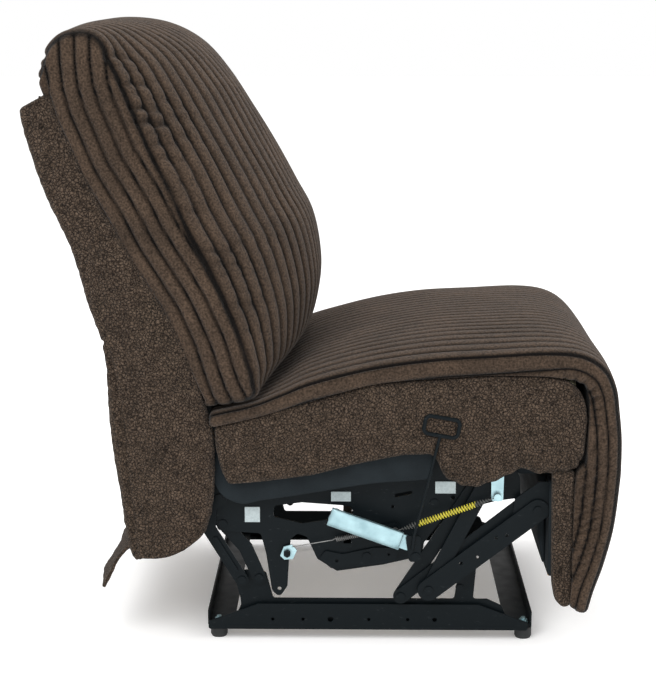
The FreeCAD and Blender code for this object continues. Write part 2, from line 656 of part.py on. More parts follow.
def coil_radius(share):
    """Radius of the spring's centre line: full in the middle, drawn in towards both hooks."""
    ease = min(1.0, 6.0 * share * (1 - share) + 0.35)
    return SPRING_R * ease - SPRING_WIRE_R


def helix_points(length):
    """Centre line of the spring along X, eight points a turn, between two straight legs."""
    steps = SPRING_TURNS * TURN_STEPS
    points = []
    for i in range(steps + 1):
        share = i / steps
        angle = 2 * math.pi * i / TURN_STEPS
        radius = coil_radius(share)
        reach = SPRING_LEG + share * (length - 2 * SPRING_LEG)
        points.append(Vector(reach, radius * math.cos(angle), radius * math.sin(angle)))
    return points


def least_coil_gap(points):
    """Least gap between the wire's own turns, from points half a turn or more apart."""
    apart = TURN_STEPS // 2
    near = 3 * TURN_STEPS
    least = min(points[i].distanceToPoint(points[j])
                for i in range(len(points)) for j in range(i + apart, min(i + near, len(points))))
    return least - 2 * SPRING_WIRE_R


def drive_spring():
    """Coil spring from the crank's arm to the stud on the seat plate: one unbroken tube."""
    length = math.hypot(*reach_between(SPRING_HOOK, SPRING_STUD))
    points = helix_points(length)
    print(f"drive spring: {SPRING_TURNS} turns, least gap to itself {least_coil_gap(points):.2f} mm")
    edges = []
    for i in range(0, len(points) - 2, 2):
        edges.append(Part.Arc(points[i], points[i + 1], points[i + 2]).toShape())
    path = Part.Wire(edges)
    tangent = path.Edges[0].tangentAt(path.Edges[0].FirstParameter)
    ring = Part.Wire(Part.Circle(points[0], tangent, SPRING_WIRE_R).toShape())
    coil = path.makePipeShell([ring], True, False)
    spring = Part.makeCompound([coil])
    angle = math.degrees(math.atan2(SPRING_STUD[1] - SPRING_HOOK[1], SPRING_STUD[0] - SPRING_HOOK[0]))
    spring.rotate(Vector(0, 0, 0), Vector(0, -1, 0), angle)
    spring.translate(at(SPRING_HOOK, SPRING_Y))
    return spring


def spring_hook(point, towards):
    """Wire eye that hooks on a stud, with a straight leg into the coil."""
    length = math.hypot(*reach_between(point, towards))
    along = Vector(reach_between(point, towards)[0] / length, 0, reach_between(point, towards)[1] / length)
    eye_r = PIN_R + HOOK_CLEARANCE + SPRING_WIRE_R
    centre = at(point, SPRING_Y)
    eye = Part.makeTorus(eye_r, SPRING_WIRE_R, centre, Vector(0, 1, 0))
    leg = Part.makeCylinder(SPRING_WIRE_R, SPRING_LEG - eye_r + SPRING_WIRE_R, centre + along * eye_r,
                            along)
    return eye.fuse(leg).removeSplitter()


# Wooden frames and wire springs

def seat_side_rail():
    """Wooden rail that the seat plate is screwed to."""
    outer = layer(SEAT_LAYER)[0] - WOOD_GAP
    return block(SEAT_WOOD_REAR_X, SEAT_WOOD_FRONT_X, -outer, -(outer - RAIL_WOOD_T), SEAT_WOOD_LOW_Z,
                 SEAT_WOOD_HIGH_Z)


def seat_cross_rails():
    """Front and rear wooden rails between the side rails."""
    reach = layer(SEAT_LAYER)[0] - WOOD_GAP - RAIL_WOOD_T
    rails = [block(x, x + RAIL_WOOD_T, -reach, reach, SEAT_WOOD_LOW_Z, SEAT_WOOD_HIGH_Z)
             for x in (SEAT_WOOD_REAR_X, SEAT_WOOD_FRONT_X - RAIL_WOOD_T)]
    return Part.makeCompound(rails)


def zigzag(points, radius):
    """Flat wire spring: straight runs joined by bends, as one tube."""
    return tube_along(points, SPRING_WIRE, radius)


def seat_springs():
    """Five zigzag springs from the front rail to the rear rail."""
    start, end = SEAT_WOOD_REAR_X + 4, SEAT_WOOD_FRONT_X - 4
    count, waves, reach = 5, 14, 22.0
    z = SEAT_WOOD_HIGH_Z + SPRING_WIRE
    springs = []
    for row in range(count):
        y = -180 + 90 * row
        step = (end - start) / (waves + 1)
        points = [Vector(start, y, z), Vector(start + step * 0.5, y, z)]
        for i in range(waves):
            side = reach if i % 2 == 0 else -reach
            points.append(Vector(start + step * (i + 0.5), y + side, z))
            points.append(Vector(start + step * (i + 1.5), y + side, z))
        points.append(Vector(end - step * 0.5 + step * 0.0, y, z))
        springs.append(zigzag(clean_route(points + [Vector(end, y, z)]), 7.0))
    return Part.makeCompound(springs)


def clean_route(points):
    """Route without repeated points."""
    kept = [points[0]]
    for point in points[1:]:
        if (point - kept[-1]).Length > 1.0:
            kept.append(point)
    return kept


def side_board():
    """Thin board that the seat's side cloth is stapled to."""
    inner, outer = SIDE_BOARD_INNER_Y, SIDE_BOARD_INNER_Y + SIDE_BOARD_T
    return slab([(-248, 352), (338, 352), (340, 400), (335, 470), (300, 478), (0, 462), (-100, 430),
                 (-250, 395)],
                inner, outer, 6.0)


SHELL_REAR = [(-577, 926), (-563, 866), (-540, 797), (-501, 697), (-471, 597), (-451, 531), (-444, 481),
              (-438, 389), (-434, 328), (-425, 258), (-413, 180)]
SHELL_TOP = [(-529, 953)]
SHELL_FRONT = [(-519, 912), (-500, 866), (-481, 820), (-446, 758), (-415, 697), (-381, 643), (-350, 589),
               (-323, 528), (-307, 474), (-296, 443), (-283, 389), (-277, 351), (-273, 312), (-276, 266),
               (-284, 228)]
SHELL_BOTTOM = [(-296, 201), (-305, 187), (-335, 179), (-371, 167), (-401, 160)]


BACK_STATIONS = [((-276, 444), (-190, 456)), ((-283, 458), (-158, 480)), ((-291, 476), (-118, 528)),
                 ((-316, 532), (-98, 598)), ((-343, 592), (-98, 655)), ((-374, 646), (-112, 722)),
                 ((-408, 700), (-140, 775)), ((-439, 761), (-176, 840)), ((-474, 823), (-216, 908)),
                 ((-493, 869), (-254, 968)), ((-512, 915), (-304, 1024)), ((-524, 958), (-368, 1058)),
                 ((-527, 970), (-440, 1066)), ((-530, 976), (-506, 1046))]


def back_posts():
    """Wooden uprights inside the back, one on each side; their front edge carries the cushion."""
    front = [(near[0] - 1.0, near[1]) for near, far in BACK_STATIONS[2:-3]]
    rear = [(x + SHELL_INSET + SHELL_T + WOOD_GAP, z) for x, z in SHELL_REAR[-2:0:-1]]
    outline = [(-400, 228)] + rear + [(-552, 905)] + front[::-1] + [(-302, 440), (-306, 330), (-340, 228)]
    return both(slab(outline, POST_INNER_Y, POST_INNER_Y + POST_T, 4.0))


BACK_RAIL_PLACES = [(-398.0, 232.0, 300.0), (-336.0, 440.0, 500.0), (-536.0, 850.0, 905.0)]
BACK_RAIL_T = 22.0


def back_rails():
    """Wooden rails across the back at the bottom, the middle and the top."""
    reach = POST_INNER_Y
    return Part.makeCompound([block(x, x + BACK_RAIL_T, -reach, reach, low, high) for x, low,
                              high in BACK_RAIL_PLACES])


def back_springs():
    """Four zigzag springs up the back, from the middle rail to the top rail."""
    waves, reach = 13, 20.0
    middle, top = BACK_RAIL_PLACES[1], BACK_RAIL_PLACES[2]
    low = (middle[0] + BACK_RAIL_T + SPRING_WIRE + 2.0, middle[2] - 3)
    high = (top[0] + BACK_RAIL_T + SPRING_WIRE + 0.5, top[1] + 4)
    step = 1 / (waves + 1)
    stations = [(0.0, 0.0), (step * 0.5, 0.0)]
    for i in range(waves):
        side = reach if i % 2 == 0 else -reach
        stations += [(step * (i + 0.5), side), (step * (i + 1.5), side)]
    stations += [(1 - step * 0.5, 0.0), (1.0, 0.0)]
    springs = []
    for y in (-150, -50, 50, 150):
        points = []
        for share, side in stations:
            x, z = along_line(low, high, share)
            points.append(Vector(x, y + side, z))
        springs.append(zigzag(clean_route(points), 7.0))
    return Part.makeCompound(springs)


def back_bracket():
    """Steel bracket that hooks the back's post to the seat plate and carries the back link's pin."""
    inner, outer = layer(INNER_ARM_LAYER)
    outline = [(BACK_PIVOT[0] + 13, BACK_PIVOT[1] - 6), (BACK_PIVOT[0] + 11, BACK_PIVOT[1] + 12),
               (-300, 330), (-328, 434), (-370, 434), (-350, 300), (-318, 238),
               (BACK_LINK_HEAD[0] - 10, BACK_LINK_HEAD[1] - 13),
               (BACK_LINK_HEAD[0] + 12, BACK_LINK_HEAD[1] - 11)]
    plate = slab(outline, inner, outer, 6.0)
    plate = drilled(plate, [(BACK_PIVOT, running), ((-345, 412), 3.5), ((-335, 350), 3.5)], inner, outer)
    pin = rod_y(BACK_LINK_HEAD, layer(INNER_LINK_LAYER)[0] + HEAD_GAP, outer, PIN_R)
    return plate.fuse(pin).removeSplitter()


# Covers and cushions

def shell_side():
    """Side wall of the back's outer cover."""
    outline = SHELL_REAR[::-1] + SHELL_TOP + SHELL_FRONT + SHELL_BOTTOM
    inner, outer = HALF_WIDTH - 1.5 - SHELL_T, HALF_WIDTH - 1.5
    return slab(outline, inner, outer, 8.0)


def shell_rear():
    """Rear wall of the back's outer cover, between its two sides."""
    reach = HALF_WIDTH - 1.5 - SHELL_T - WOOD_GAP
    rear = [(x + SHELL_INSET, z - 0.5) for x, z in SHELL_REAR]
    front = [(x + SHELL_T, z) for x, z in rear]
    outline = rear[::-1] + front
    face = Part.Face(Part.makePolygon([at(p, reach) for p in outline + outline[:1]]))
    return face.extrude(Vector(0, 2 * reach, 0))


def access_flap():
    """Loose cloth flap at the foot of the rear wall, hanging open below it."""
    reach = HALF_WIDTH - 30
    outline = [(-412, 179.2), (-437, 161), (-447, 138), (-460, 108), (-455, 101), (-449, 112), (-436, 140),
               (-427, 156), (-401, 179.2)]
    face = Part.Face(Part.makePolygon([at(p, reach) for p in outline + outline[:1]]))
    return face.extrude(Vector(0, 2 * reach, 0))


def ribbed_section(base_near, base_far, profile, edge, rib_count, side_ribs, depth):
    """One closed section of a ribbed cushion.

    The base is a straight line across the chair; the ribs are arcs over points of the profile, which
    gives (sideways distance, share of the way from the near base to the far side) from one side to the
    other. The edge is the share at which the side turns into the front.
    """
    direction = Vector(base_far[0] - base_near[0], 0, base_far[1] - base_near[1])
    points = []
    total = rib_count + 2 * side_ribs
    for i in range(total + 1):
        sideways, share = profile(i, edge, rib_count, side_ribs)
        points.append(Vector(base_near[0], sideways, base_near[1]) + direction * share)
    centre = Vector(base_near[0], 0, base_near[1]) + direction * 0.45
    edges = []
    for i in range(total):
        middle = (points[i] + points[i + 1]) * 0.5
        chord = points[i + 1] - points[i]
        normal = chord.cross(direction.cross(Vector(0, 1, 0))).normalize()
        if normal.dot(middle - centre) < 0:
            normal = normal * -1
        height = min(depth, chord.Length * 0.24)
        edges.append(Part.Arc(points[i], middle + normal * height, points[i + 1]).toShape())
    edges.append(Part.makeLine(points[-1], points[0]))
    return Part.Wire(edges)


BACK_RIBS = 28
BACK_SIDE_RIBS = 4
BACK_EDGE_SHARES = [0.90, 0.66, 0.49, 0.42, 0.39, 0.38, 0.39, 0.41, 0.43, 0.45, 0.50, 0.60, 0.86, 0.93]


def back_profile(index, edge, rib_count, side_ribs):
    """Side ribs up the cushion's side, then the crowned front, then the other side."""
    half = HALF_WIDTH - 4 - RIB_HEIGHT
    if index < side_ribs:
        share = edge * index / side_ribs
        return -(half - SIDE_TUCK + SIDE_TUCK * math.sin(math.pi / 2 * share / edge)), share
    if index > side_ribs + rib_count:
        share = edge * (rib_count + 2 * side_ribs - index) / side_ribs
        return half - SIDE_TUCK + SIDE_TUCK * math.sin(math.pi / 2 * share / edge), share
    across = 2 * (index - side_ribs) / rib_count - 1
    return across * half, edge + (1 - edge) * (1 - abs(across) ** CROWN_POWER)


def back_cushion():
    """Tall ribbed cushion of the back, crowned in front and drawn in at its ends."""
    wires = []
    last = len(BACK_STATIONS) - 1
    for i, (near, far) in enumerate(BACK_STATIONS):
        depth = RIB_HEIGHT * (0.5 if i in (0, last) else 1.0)
        edge = BACK_EDGE_SHARES[i]
        wires.append(ribbed_section(near, far, back_profile, edge, BACK_RIBS, BACK_SIDE_RIBS, depth))
    return Part.makeLoft(wires, True, True)


SEAT_STATIONS = [((-258, 404), (-258, 418)), ((-200, 417), (-200, 432)), ((-150, 430), (-150, 452)),
                 ((-100, 445), (-100, 474)), ((0, 476), (0, 500)), ((98, 484), (98, 515)),
                 ((198, 490), (198, 522)), ((283, 490), (290, 527)), ((312, 488), (340, 523)),
                 ((330, 482), (376, 505)), ((348, 474), (396, 490))]
SEAT_MIDDLE_RISE = [2, 4, 8, 14, 20, 22, 22, 20, 14, 9, 5]
PAD_RIBS = 26


def seat_section(near, far, rise):
    """Section of the seat cushion: straight sides, and a ribbed top that is crowned in the middle."""
    half = HALF_WIDTH - RIB_HEIGHT * 0.3
    up = Vector(far[0] - near[0], 0, far[1] - near[1])
    lift = Vector(up).normalize()
    points = []
    for i in range(PAD_RIBS + 1):
        across = 2 * i / PAD_RIBS - 1
        crown = rise * (1 - across ** 4)
        points.append(Vector(far[0], across * half, far[1]) + lift * crown)
    edges = []
    for i in range(PAD_RIBS):
        middle = (points[i] + points[i + 1]) * 0.5 + lift * RIB_HEIGHT
        edges.append(Part.Arc(points[i], middle, points[i + 1]).toShape())
    low_right = Vector(near[0], half - 5, near[1])
    low_left = Vector(near[0], 5 - half, near[1])
    side_right = (points[-1] + low_right) * 0.5 + Vector(0, 4.0, 0)
    side_left = (points[0] + low_left) * 0.5 + Vector(0, -4.0, 0)
    edges.append(Part.Arc(points[-1], side_right, low_right).toShape())
    edges.append(Part.makeLine(low_right, low_left))
    edges.append(Part.Arc(low_left, side_left, points[0]).toShape())
    return Part.Wire(edges)


def seat_cushion():
    """Ribbed seat cushion, crowned, running forward over the front edge to the footrest's hinge."""
    wires = [seat_section(near, far, rise) for (near, far), rise in zip(SEAT_STATIONS, SEAT_MIDDLE_RISE)]
    return Part.makeLoft(wires, True, True)


def seat_foam():
    """Foam block between the side boards, under the ribbed cushion and on the wire springs."""
    reach = SIDE_BOARD_INNER_Y - WOOD_GAP
    low = SEAT_WOOD_HIGH_Z + 2 * SPRING_WIRE + WOOD_GAP
    top = [(near[0], near[1] - WOOD_GAP) for near, far in SEAT_STATIONS[1:-1]]
    outline = [(-246, low), (342, low), (350, 430), (346, 466)] + top[::-1] + [(-246, 406)]
    face = Part.Face(Part.makePolygon([at(p, reach) for p in outline + outline[:1]]))
    return face.extrude(Vector(0, 2 * reach, 0))


SIDE_PANEL_OUTLINE = [(-264, 396), (-262, 362), (-252, 325), (-238, 303), (-178, 311), (-101, 322),
                      (-25, 343), (52, 358), (102, 358), (112, 343), (123, 317), (152, 302), (175, 299),
                      (214, 312), (250, 334), (275, 327), (314, 328), (344, 331), (355, 358), (360, 412),
                      (355, 443), (344, 464), (325, 480), (283, 487), (198, 487), (98, 481), (0, 473),
                      (-101, 442), (-200, 414)]


def side_panel():
    """Padded cloth side of the seat, crowned and drawn in along its edge."""
    inner = SIDE_BOARD_INNER_Y + SIDE_BOARD_T + WOOD_GAP
    centre = (45.0, 400.0)
    wires = []
    for outward, share in ((0.0, 1.0), (SIDE_PANEL_T * 0.55, 1.0), (SIDE_PANEL_T, 0.93)):
        outline = [(between(centre[0], x, 1 - (1 - share) * 0.35), between(centre[1], z, share))
                   for x, z in SIDE_PANEL_OUTLINE]
        corners = [at(p, inner + outward) for p in outline + outline[:1]]
        wires.append(Part.makePolygon(corners))
    return Part.makeLoft(wires, True, True)


def seat_skirt():
    """Thin black cloth that closes each side under the seat, creased once."""
    outer = SIDE_BOARD_INNER_Y + SIDE_BOARD_T
    outline = [(-236, 348), (-238, 303), (-225, 258), (-148, 270), (-101, 278), (0, 295), (91, 303),
               (103, 312), (103, 351)]
    return slab(outline, outer - 1.5, outer, 2.0)


FOOT_STATIONS = [((365, 470), (401, 479)), ((364, 430), (418, 431)), ((363, 380), (424, 381)),
                 ((362, 338), (425, 334)), ((342, 312), (424, 304)), ((342, 230), (417, 228)),
                 ((342, 168), (401, 166)), ((342, 122), (382, 116)), ((348, 92), (364, 80))]


def footrest_section(near, far, crown):
    """Section of the footrest pad, ribbed in front and drawn in at its sides."""
    half = HALF_WIDTH - RIB_HEIGHT * 0.3
    out = Vector(far[0] - near[0], 0, far[1] - near[1]).normalize()
    ends = Vector(near[0], 0, near[1])
    face = Vector(far[0], 0, far[1]) - out * (RIB_HEIGHT + crown)
    points = []
    for i in range(PAD_RIBS + 1):
        across = 2 * i / PAD_RIBS - 1
        points.append(face + Vector(0, across * half, 0) + out * crown * (1 - across ** 4))
    edges = []
    for i in range(PAD_RIBS):
        middle = (points[i] + points[i + 1]) * 0.5 + out * RIB_HEIGHT
        edges.append(Part.Arc(points[i], middle, points[i + 1]).toShape())
    low_right = ends + Vector(0, half - 6, 0)
    low_left = ends + Vector(0, 6 - half, 0)
    side_right = (points[-1] + low_right) * 0.5 + Vector(0, 3.0, 0)
    side_left = (points[0] + low_left) * 0.5 - Vector(0, 3.0, 0)
    edges.append(Part.Arc(points[-1], side_right, low_right).toShape())
    edges.append(Part.makeLine(low_right, low_left))
    edges.append(Part.Arc(low_left, side_left, points[0]).toShape())
    return Part.Wire(edges)


def footrest_pad():
    """Ribbed pad of the footrest, which goes on from the seat cushion."""
    wires = [footrest_section(near, far, FOOT_CROWN) for near, far in FOOT_STATIONS]
    return Part.makeLoft(wires, True, True)


def footrest_board():
    """Plywood board of the footrest."""
    reach = layer(OUTER_ARM_LAYER)[1]
    return block(BOARD_REAR_X, BOARD_FRONT_X, -reach, reach, BOARD_LOW_Z, BOARD_HIGH_Z)


def footrest_lining():
    """Padded cloth strips on the two sides of the footrest board."""
    inner, outer = layer(OUTER_ARM_LAYER)[1] + WOOD_GAP, HALF_WIDTH - 10
    outline = [(BOARD_REAR_X - 1, 322), (BOARD_FRONT_X, 322), (BOARD_FRONT_X, 120),
               (BOARD_FRONT_X - 10, 104), (BOARD_REAR_X + 9, 122), (BOARD_REAR_X + 4, 220)]
    return both(slab(outline, inner, outer, 5.0))


def footrest_backing():
    """Black cloth behind the footrest board, a slack wedge between the brackets."""
    reach = layer(OUTER_LINK_LAYER)[0] - 34
    board = BOARD_REAR_X - WOOD_GAP
    outline = [(board, 300), (board - 6, 296), (board - 18, 222), (board, 132)]
    face = Part.Face(Part.makePolygon([at(p, reach) for p in outline + outline[:1]]))
    return face.extrude(Vector(0, 2 * reach, 0))


def clips():
    """White plastic clips on the seat plates' upper edge."""
    outer = SEAT_PLATE_OUTER
    places = [((-219, 217), (-193, 244)), ((-70, 255), (-36, 272)), ((109, 270), (144, 291))]
    pieces = [block(low[0], high[0], -(outer + 2.5), -outer, low[1], high[1]) for low, high in places]
    return Part.makeCompound(pieces + [mirrored(piece) for piece in pieces])


def pair(name, right):
    """The two files of a piece that comes in a right and a left hand."""
    return {name + "_right": right, name + "_left": mirrored(right)}


def nodes():
    """Every node of the part with its shape."""
    made = {}
    made.update(pair("base_rail", base_rail()))
    made.update(pair("base_plate", base_plate()))
    made["cross_members"] = cross_members()
    made["floor_feet"] = floor_feet()
    made["foot_bolts"] = foot_bolts()
    made["base_pins"] = base_pins()
    made["rear_swing_links"] = both(rear_swing_link())
    made["front_swing_links"] = both(front_swing_link())
    made["back_links"] = both(back_link())
    made.update(pair("seat_plate", seat_plate()))
    made["lower_plates"] = both(lower_plate())
    made["seat_pins"] = seat_pins()
    made["spring_hangers"] = both(spring_hanger())
    made["cross_tube"] = cross_tube()
    made.update(pair("outer_link", outer_link()))
    made.update(pair("inner_link", inner_link()))
    made.update(pair("outer_arm", outer_arm()))
    made.update(pair("inner_arm", inner_arm()))
    made.update(pair("footrest_bracket", footrest_bracket()))
    made["trigger_lever"] = trigger_lever()
    made["pull_handle"] = pull_handle()
    made["latch_link"] = latch_link()
    made["latch_crank_right"] = latch_crank(True)
    made["latch_crank_left"] = mirrored(latch_crank(False))
    made["torque_tube"] = torque_tube()
    spring = drive_spring()
    hooks = [spring_hook(SPRING_HOOK, SPRING_STUD), spring_hook(SPRING_STUD, SPRING_HOOK)]
    made.update(pair("drive_spring", Part.makeCompound([spring] + hooks)))
    made.update(pair("seat_side_rail", seat_side_rail()))
    made["seat_cross_rails"] = seat_cross_rails()
    made["seat_springs"] = seat_springs()
    made["side_boards"] = both(side_board())
    made.update(pair("side_panel", side_panel()))
    made["seat_skirt"] = both(seat_skirt())
    made["seat_foam"] = seat_foam()
    made["seat_cushion"] = seat_cushion()
    made["plate_clips"] = clips()
    made["back_posts"] = back_posts()
    made["back_rails"] = back_rails()
    made["back_springs"] = back_springs()
    made.update(pair("back_bracket", back_bracket()))
    made.update(pair("shell_side", shell_side()))
    made["shell_rear"] = shell_rear()
    made["access_flap"] = access_flap()
    made["back_cushion"] = back_cushion()
    made["footrest_board"] = footrest_board()
    made["footrest_lining"] = footrest_lining()
    made["footrest_backing"] = footrest_backing()
    made["footrest_pad"] = footrest_pad()
    return made


def main():
    """Write one STEP file for each node."""
    os.makedirs("parts", exist_ok=True)
    middle = (REAR_X + FRONT_X) / 2
    for name, shape in nodes().items():
        placed = shape.copy()
        placed.translate(Vector(-middle, 0, 0))
        box = placed.BoundBox
        solids = placed.Solids
        valid = all(s.isValid() and s.Volume > 0 for s in solids)
        volume = sum(s.Volume for s in solids)
        print("%-22s solids %2d valid %s vol %.0f x %.1f %.1f y %.1f %.1f z %.1f %.1f" % (
            name, len(solids), valid, volume,
            box.XMin, box.XMax, box.YMin, box.YMax, box.ZMin, box.ZMax))
        placed.exportStep("parts/" + name + ".step")


main()
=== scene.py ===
"""Armless recliner on a steel frame: ribbed plush cushions, nubby cloth sides and the mechanism below.

Side-view places are in millimetres, forwards and upwards from the middle of the steel base at the
floor. The loaded frame says where that middle lies, from the front end of the base rails.
"""
import json
import logging
import math
from dataclasses import dataclass, field
from enum import Enum, IntEnum
from typing import Any, Sequence

import bpy
import numpy as np
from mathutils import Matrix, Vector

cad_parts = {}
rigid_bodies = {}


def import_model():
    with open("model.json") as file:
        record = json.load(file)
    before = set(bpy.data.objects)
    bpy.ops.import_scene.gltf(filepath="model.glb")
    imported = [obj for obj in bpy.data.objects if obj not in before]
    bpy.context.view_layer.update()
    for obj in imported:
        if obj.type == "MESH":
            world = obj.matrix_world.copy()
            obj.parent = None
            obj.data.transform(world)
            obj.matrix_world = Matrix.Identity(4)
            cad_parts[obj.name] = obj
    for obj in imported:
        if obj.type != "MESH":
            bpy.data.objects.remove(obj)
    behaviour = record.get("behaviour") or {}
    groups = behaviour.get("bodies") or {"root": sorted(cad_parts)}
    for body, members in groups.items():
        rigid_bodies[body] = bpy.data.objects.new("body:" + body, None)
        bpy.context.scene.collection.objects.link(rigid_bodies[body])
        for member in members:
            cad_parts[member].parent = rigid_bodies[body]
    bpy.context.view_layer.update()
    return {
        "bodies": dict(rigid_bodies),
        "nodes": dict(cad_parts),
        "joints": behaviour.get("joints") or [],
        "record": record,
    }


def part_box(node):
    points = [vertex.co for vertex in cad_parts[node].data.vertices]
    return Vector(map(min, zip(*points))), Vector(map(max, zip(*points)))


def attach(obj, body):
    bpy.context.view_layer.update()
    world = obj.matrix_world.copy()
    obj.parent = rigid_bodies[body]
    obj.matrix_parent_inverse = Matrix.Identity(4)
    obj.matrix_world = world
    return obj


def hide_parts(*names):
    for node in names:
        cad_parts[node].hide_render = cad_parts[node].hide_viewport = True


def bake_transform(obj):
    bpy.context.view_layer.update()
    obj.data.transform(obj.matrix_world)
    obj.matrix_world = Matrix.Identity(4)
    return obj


LOG = logging.getLogger("recliner")
MM = 0.001
RAIL_FRONT = 274.0
HALF_WIDTH = 317.5
CURVE_STEPS = 40
RIPPLE_WAVES = 8
FRONT_MARK = 10.0
REAR_MARK = -9.0

Place = tuple[float, float]
Triple = tuple[float, float, float]
Colour = Triple


class Side(Enum):
    """The two sides of the chair, by the sign of their distance from its middle plane."""

    RIGHT = -1
    LEFT = 1

    @property
    def tag(self) -> str:
        """How the names of this side's pieces end."""
        return self.name.lower()


class Region(IntEnum):
    """Stretches of the chaise pad's section."""

    TOP = 0
    SIDE = 1
    UNDER = 2


class Slot(Enum):
    """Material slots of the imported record."""

    PLUSH = "plush"
    BOUCLE = "boucle"
    BLACK_CLOTH = "black_cloth"
    BLACK_STEEL = "black_steel"
    ZINC_STEEL = "zinc_steel"
    SPRING_YELLOW = "spring_yellow"
    WIRE_STEEL = "wire_steel"
    CLIP_WHITE = "clip_white"
    FOOT_BLACK = "foot_black"
    TIMBER = "timber"
    FOAM = "foam"


# Curves and fields on arrays of points


def even_line(line: np.ndarray, count: int, width: int = 2) -> np.ndarray:
    """Stations at even distances along a polyline.

    Args:
        line: The polyline's rows.
        count: How many stations the result has.
        width: How many leading columns measure the distance.

    Returns:
        An array of count rows.
    """
    steps = np.linalg.norm(np.diff(line[:, :width], axis=0), axis=1)
    reach = np.concatenate([[0.0], np.cumsum(steps)])
    want = np.linspace(0, reach[-1], count)
    return np.stack([np.interp(want, reach, line[:, k]) for k in range(line.shape[1])], axis=1)

def smooth_line(points: Sequence[Sequence[float]], count: int) -> np.ndarray:
    """Even stations along a smooth curve through given points.

    Args:
        points: Rows of numbers; the first two are places and the rest are carried along.
        count: How many stations the result has.

    Returns:
        An array of count rows with the columns of the given points.
    """
    control = np.array(points, float)
    ends = np.vstack([2 * control[0] - control[1], control, 2 * control[-1] - control[-2]])
    share = np.linspace(0, 1, CURVE_STEPS, endpoint=False)[:, None]
    fine = []
    for a, b, c, d in zip(ends, ends[1:], ends[2:], ends[3:]):
        fine.append(0.5 * (2 * b + (c - a) * share + (2 * a - 5 * b + 4 * c - d) * share ** 2
                           + (3 * b - a - 3 * c + d) * share ** 3))
    return even_line(np.vstack(fine + [control[-1:]]), count)


def closed_line(outline: Sequence[Place], spacing: float, rounds: int = 0) -> np.ndarray:
    """Even stations round a closed outline.

    Args:
        outline: Corners in the side view.
        spacing: Distance between stations.
        rounds: How often the corners are softened.

    Returns:
        The stations, of which the last doesn't repeat the first.
    """
    corners = np.array([*outline, outline[0]], float)
    length = float(np.sum(np.linalg.norm(np.diff(corners, axis=0), axis=1)))
    line = even_line(corners, int(length / spacing) + 1)[:-1]
    for _ in range(rounds):
        line = 0.25 * np.roll(line, 1, axis=0) + 0.5 * line + 0.25 * np.roll(line, -1, axis=0)
    return line


def capped_rows(stations: Sequence[Sequence[float]], count: int,
                rings: int) -> list[tuple[np.ndarray, np.ndarray, float]]:
    """Even rows along a cushion, with rings for a rounded cap at each end.

    Args:
        stations: Rows of near place, far place and what is carried along.
        count: How many rows lie between the caps.
        rings: How many rings a cap has.

    Returns:
        Each row with its neighbour further in and the cap's turn there, from 0 to 1.
    """
    line = smooth_line([(s[2], s[3], *s) for s in stations], count)[:, 2:]
    start = [(line[0], line[1], 1 - k / rings) for k in range(rings)]
    end = [(line[-1], line[-2], (k + 1) / rings) for k in range(rings)]
    return start + [(row, row, 0.0) for row in line] + end


def fade_ends(relief: np.ndarray, rings: int) -> np.ndarray:
    """Let relief die out over the rings of both caps.

    Args:
        relief: Heights, rows by columns.
        rings: How many rings a cap has.

    Returns:
        The faded heights.
    """
    rows = np.arange(len(relief))
    share = np.minimum(rows, rows[::-1]) / rings
    return relief * np.clip(share[:, None], 0, 1) ** 0.6


def spread(places: np.ndarray, sideways: np.ndarray | float) -> np.ndarray:
    """Points at places of the side view and at one or many sideways distances."""
    return np.column_stack([places[:, 0], np.broadcast_to(sideways, len(places)), places[:, 1]])


def distance_to_line(x: np.ndarray, z: np.ndarray, line: Sequence[Place]) -> np.ndarray:
    """Least distance of points from a polyline in the side view.

    Args:
        x: Forward places of the points.
        z: Heights of the points.
        line: The polyline's corners.

    Returns:
        The distances, in the shape of x, positive in front of the line.
    """
    best = np.full(x.shape, np.inf)
    sign = np.ones(x.shape)
    for (ax, az), (bx, bz) in zip(line[:-1], line[1:]):
        dx, dz = bx - ax, bz - az
        share = np.clip(((x - ax) * dx + (z - az) * dz) / (dx * dx + dz * dz), 0, 1)
        away = np.hypot(x - ax - share * dx, z - az - share * dz)
        side = np.sign((x - ax) * dz - (z - az) * dx)
        nearer = away < best
        best = np.where(nearer, away, best)
        sign = np.where(nearer, side, sign)
    return best * sign


def ripple(places: np.ndarray, pitch: float, seed: int) -> np.ndarray:
    """Smooth irregular waves between about -1 and 1.

    Args:
        places: Points, with three numbers in the last axis.
        pitch: Typical length of a wave.
        seed: Which waves are drawn.

    Returns:
        The waves' height at each point.
    """
    source = np.random.default_rng(seed)
    total = np.zeros(places.shape[:-1])
    for _ in range(RIPPLE_WAVES):
        direction = source.normal(size=3)
        direction *= 2 * math.pi / (pitch * source.uniform(0.7, 1.5) * np.linalg.norm(direction))
        total += np.sin(places @ direction + source.uniform(0, 2 * math.pi))
    return total * 2 / RIPPLE_WAVES


def rib_relief(phase: np.ndarray) -> np.ndarray:
    """Height of rounded ribs with narrow grooves at whole phases, from 0 to 1."""
    away = np.abs(2 * (phase - np.floor(phase)) - 1)
    return np.power(np.clip(1 - np.power(away, 2.8), 0, 1), 0.5)


def outward_normals(points: np.ndarray, middle: np.ndarray) -> np.ndarray:
    """Unit normals of a grid of points, pointing away from its middle.

    Args:
        points: Grid of points, rows by columns by three.
        middle: One inner point for each row.

    Returns:
        Normals in the same layout.
    """
    across = np.gradient(points, axis=1)
    along = np.gradient(points, axis=0)
    normals = np.cross(across, along)
    length = np.linalg.norm(normals, axis=2, keepdims=True)
    normals = normals / np.maximum(length, 1e-9)
    away = points - middle[:, None, :]
    if np.mean(np.sum(normals * away, axis=2)) < 0:
        normals = -normals
    return normals


# Blender tools


